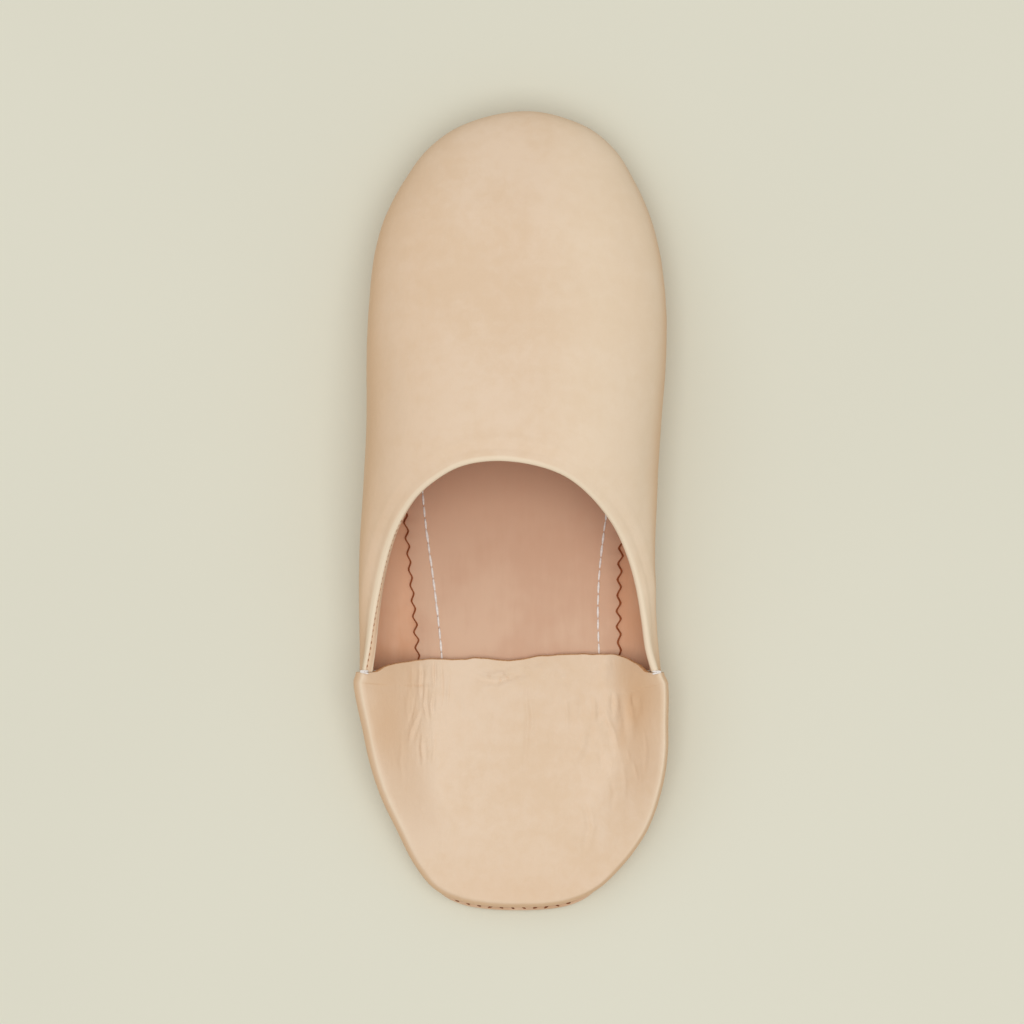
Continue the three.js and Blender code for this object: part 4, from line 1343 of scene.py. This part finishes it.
def sew(name, points, ups, pitch, stitch, material, start=0.0, sway=0.06, seed=1):
    """A row of stitches along a path in millimetres, as one plain mesh."""
    run = np.concatenate([[0], np.cumsum(np.linalg.norm(np.diff(points, axis=0), axis=1))])
    keep = np.concatenate([[start], run[run > start + 0.01]])
    line = np.stack([np.interp(keep, run, points[:, k]) for k in range(3)], axis=1)
    facing = np.stack([np.interp(keep, run, ups[:, k]) for k in range(3)], axis=1)
    mesh = bpy.data.meshes.new(name)
    mesh.from_pydata(to_frame(line).tolist(), [(i, i + 1) for i in range(len(line) - 1)], [])
    attribute = mesh.attributes.new("up", "FLOAT_VECTOR", "POINT")
    attribute.data.foreach_set("vector", facing.astype(np.float32).ravel())
    made = bpy.data.objects.new(name, mesh)
    bpy.context.scene.collection.objects.link(made)
    apply_tree(made, stitch_tree, {
        "Pitch": pitch / 1000,
        "Stitch": tuple(size / 1000 for size in stitch),
        "Sway": sway,
        "Seed": seed,
        "Material": material,
    })
    print(name, round(run[-1] - start), "mm sewn,", len(made.data.polygons) // 48, "stitches")
    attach(made, "root")
    return made


# %% [markdown]
# The sock is sewn down in white thread, a finger's width inside its pinked edge. The needle left a
# small hole between each two stitches, made here as a dark bead, painted shade. The collar's turned
# edge is sewn in thread of the lining's colour, so there only the holes show, as beads darkened with
# painted shade. The heel seam shows its thread at the very back.

# %% Stitches of the sock
STITCH_INSET = table("at outer inner", [
    (0.0, 8.0, 8.0),
    (0.2, 9.6, 8.6),
    (0.316, 10.1, 8.9),
    (0.42, 9.6, 8.9),
    (0.5, 8.7, 7.9),
    (0.62, 8.0, 7.6),
    (1.0, 8.0, 8.0),
])
sock_path_steps = np.linspace(4, STEPS - 4, 700)
at = along(sock_path_steps)[:, 1] / LENGTH
inset = np.where(
    sock_path_steps < toe_step, read(STITCH_INSET, "outer", at), read(STITCH_INSET, "inner", at)
)
sock_path = wall_foot(sock_path_steps, -inset)
sock_path = with_height(sock_path, SOCK_TOP + 0.12 + lift(sock_path[:, 1]))
straight_up = np.tile([0.0, 0.0, 1.0], (len(sock_path), 1))
sew("sock_stitches", sock_path, straight_up, 3.9, (4.3, 0.8, 0.55), white_thread, sway=0.035, seed=5)
hole_path = sock_path - np.array([0, 0, 0.1])
sew("sock_needle_holes", hole_path, straight_up, 3.9, (0.6, 0.5, 0.3), needle_hole_shade, start=1.95)

# %% Stitches inside the collar
stitch_row = int(np.argmin(np.abs(NEAR_COLLAR - 2.1))) + row_count - len(NEAR_COLLAR)
under_rim = vamp_grid - vamp_normals * (VAMP_WALL + inside_band)[..., None]
on_rim = vamp_rings[:, row_count + 5]
shown = smooth(seen, 0.2, 0.5)[:, None]
collar_path = (on_rim * shown + under_rim[:, stitch_row] * (1 - shown))[2:-2]
collar_ups = (np.array([0.0, 0.0, 1.0]) * shown - vamp_normals[:, stitch_row] * (1 - shown))[2:-2]
sew("collar_stitches", collar_path, collar_ups, 1.9, (0.95, 0.5, 0.3), sunk_thread_and_hole_shade, seed=3)

# %% Thread at the collar's two ends and in the heel seam
for label, rib_index in (("outer", 0), ("inner", -1)):
    rim = (vamp_grid[rib_index, -1] - vamp_normals[rib_index, -1] * VAMP_WALL / 2) + np.array([0, -0.15, 1.25])
    across = vamp_normals[rib_index, -1] * np.array([1, 1, 0])
    for part, turned in (("a", 0.0), ("b", 0.2)):
        line = np.array([rim + across * k + np.array([0, turned * k, -0.06 * abs(k)]) for k in (-1.2, 0, 1.2)])
        line += np.array([0.0, 0.35 if part == "a" else -0.3, 0.0])
        ups = np.tile([0.0, 0.0, 1.0], (3, 1))
        sew("tack_" + label + "_" + part, line, ups, 2.4, (1.9, 0.7, 0.6), white_thread, start=1.19)

heel_steps = np.linspace(-19, 23, 120)
heel_path = along(heel_steps) + outward(heel_steps) * 0.5
heel_path = with_height(heel_path, SOLE_THICKNESS + 0.05)
heel_ups = np.tile([0.0, 0.0, 1.0], (len(heel_path), 1))
sew("heel_stitches", heel_path, heel_ups, 3.6, (1.5, 0.6, 0.4), brown_thread, sway=0.5, seed=9)

# %% [markdown]
# ## The sole
#
# The sole is one flat piece of thick leather. Its edge is trimmed and rubbed smooth, so it is
# rounded at the top and more at the bottom. Rings of points follow the same outline as the upper,
# each with its height and its reach, which gives the edge its profile.

# %% The sole
SOLE_SIDE = 300
sole_steps = np.concatenate(
    [np.linspace(0, toe_step, SOLE_SIDE + 1), np.linspace(toe_step, STEPS, SOLE_SIDE + 1)[1:-1]]
)
sole_count = len(sole_steps)
heel_share = 1 - smooth(along(sole_steps)[:, 1] / LENGTH, 0.01, 0.06)
lip = 1.0 + (4.2 - 1.0) * heel_share
sole_profile = [
    (3.5, -8.0), (3.5, -0.75), (3.46, -0.45), (3.32, -0.18), (3.05, -0.03), (2.7, 0.0), (1.5, 0.0),
    (0.95, -0.05), (0.5, -0.22), (0.18, -0.5), (0.03, -0.85), (0.0, -1.2), (0.0, -8.0),
]
sole_rings = plate_rings(sole_steps, [(height, lip + reach) for height, reach in sole_profile])
sole_faces = plate_faces(sole_count, len(sole_rings), 0, 0)
sole_faces += rungs(0, sole_count, SOLE_SIDE, True)
sole_faces += rungs((len(sole_rings) - 1) * sole_count, sole_count, SOLE_SIDE, False)


def make_sole_leather():
    material, bare, place = start_material("Sole leather")
    blotch = noise(bare, place, 28.0, 4.0, 0.6)
    fibre_place = bare.node("ShaderNodeMapping", {}, {"Vector": place, "Scale": (1.0, 1.0, 7.0)})
    fibre = noise(bare, fibre_place, 240.0, 3.0, 0.65)
    share = (blotch * 0.6 + fibre * 0.4).step(0.36, 0.66)
    color = share.tint(screen(226, 194, 164), screen(210, 172, 138))
    fine = bump(bare, noise(bare, place, 900.0, 3.0, 0.6) * 0.5 + fibre * 0.5, 0.00012, 0.4)
    values = {"Base Color": color, "Roughness": fibre.step(0.3, 0.7, 0.5, 0.66), "Normal": fine}
    values["Specular IOR Level"] = 0.35
    close_material(bare, values)
    return material


sole_leather = make_sole_leather()
sole = make_object("sole_plate", to_frame(sole_rings.reshape(-1, 3)), sole_faces, [sole_leather])
finish_mesh(sole, 40)
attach(sole, "root")
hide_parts("outsole")

# %% [markdown]
# ## The insole board
#
# The board lies out of sight between the sole and the sock, so its CAD solid stays and only gets
# the look of pressed leather fibre.


# %% The insole board's finish
def make_insole_board():
    material, bare, place = start_material("Insole board")
    fibre = noise(bare, place, 380.0, 4.0, 0.7)
    speck = noise(bare, place, 1400.0, 2.0, 0.6)
    color = (fibre * 0.6 + speck * 0.4).step(0.35, 0.65).tint(screen(190, 148, 116), screen(168, 124, 92))
    fine = bump(bare, fibre, 0.0002, 0.5)
    close_material(bare, {"Base Color": color, "Roughness": 0.9, "Normal": fine})
    return material


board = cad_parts["insole"]
board.data.materials.clear()
board.data.materials.append(make_insole_board())
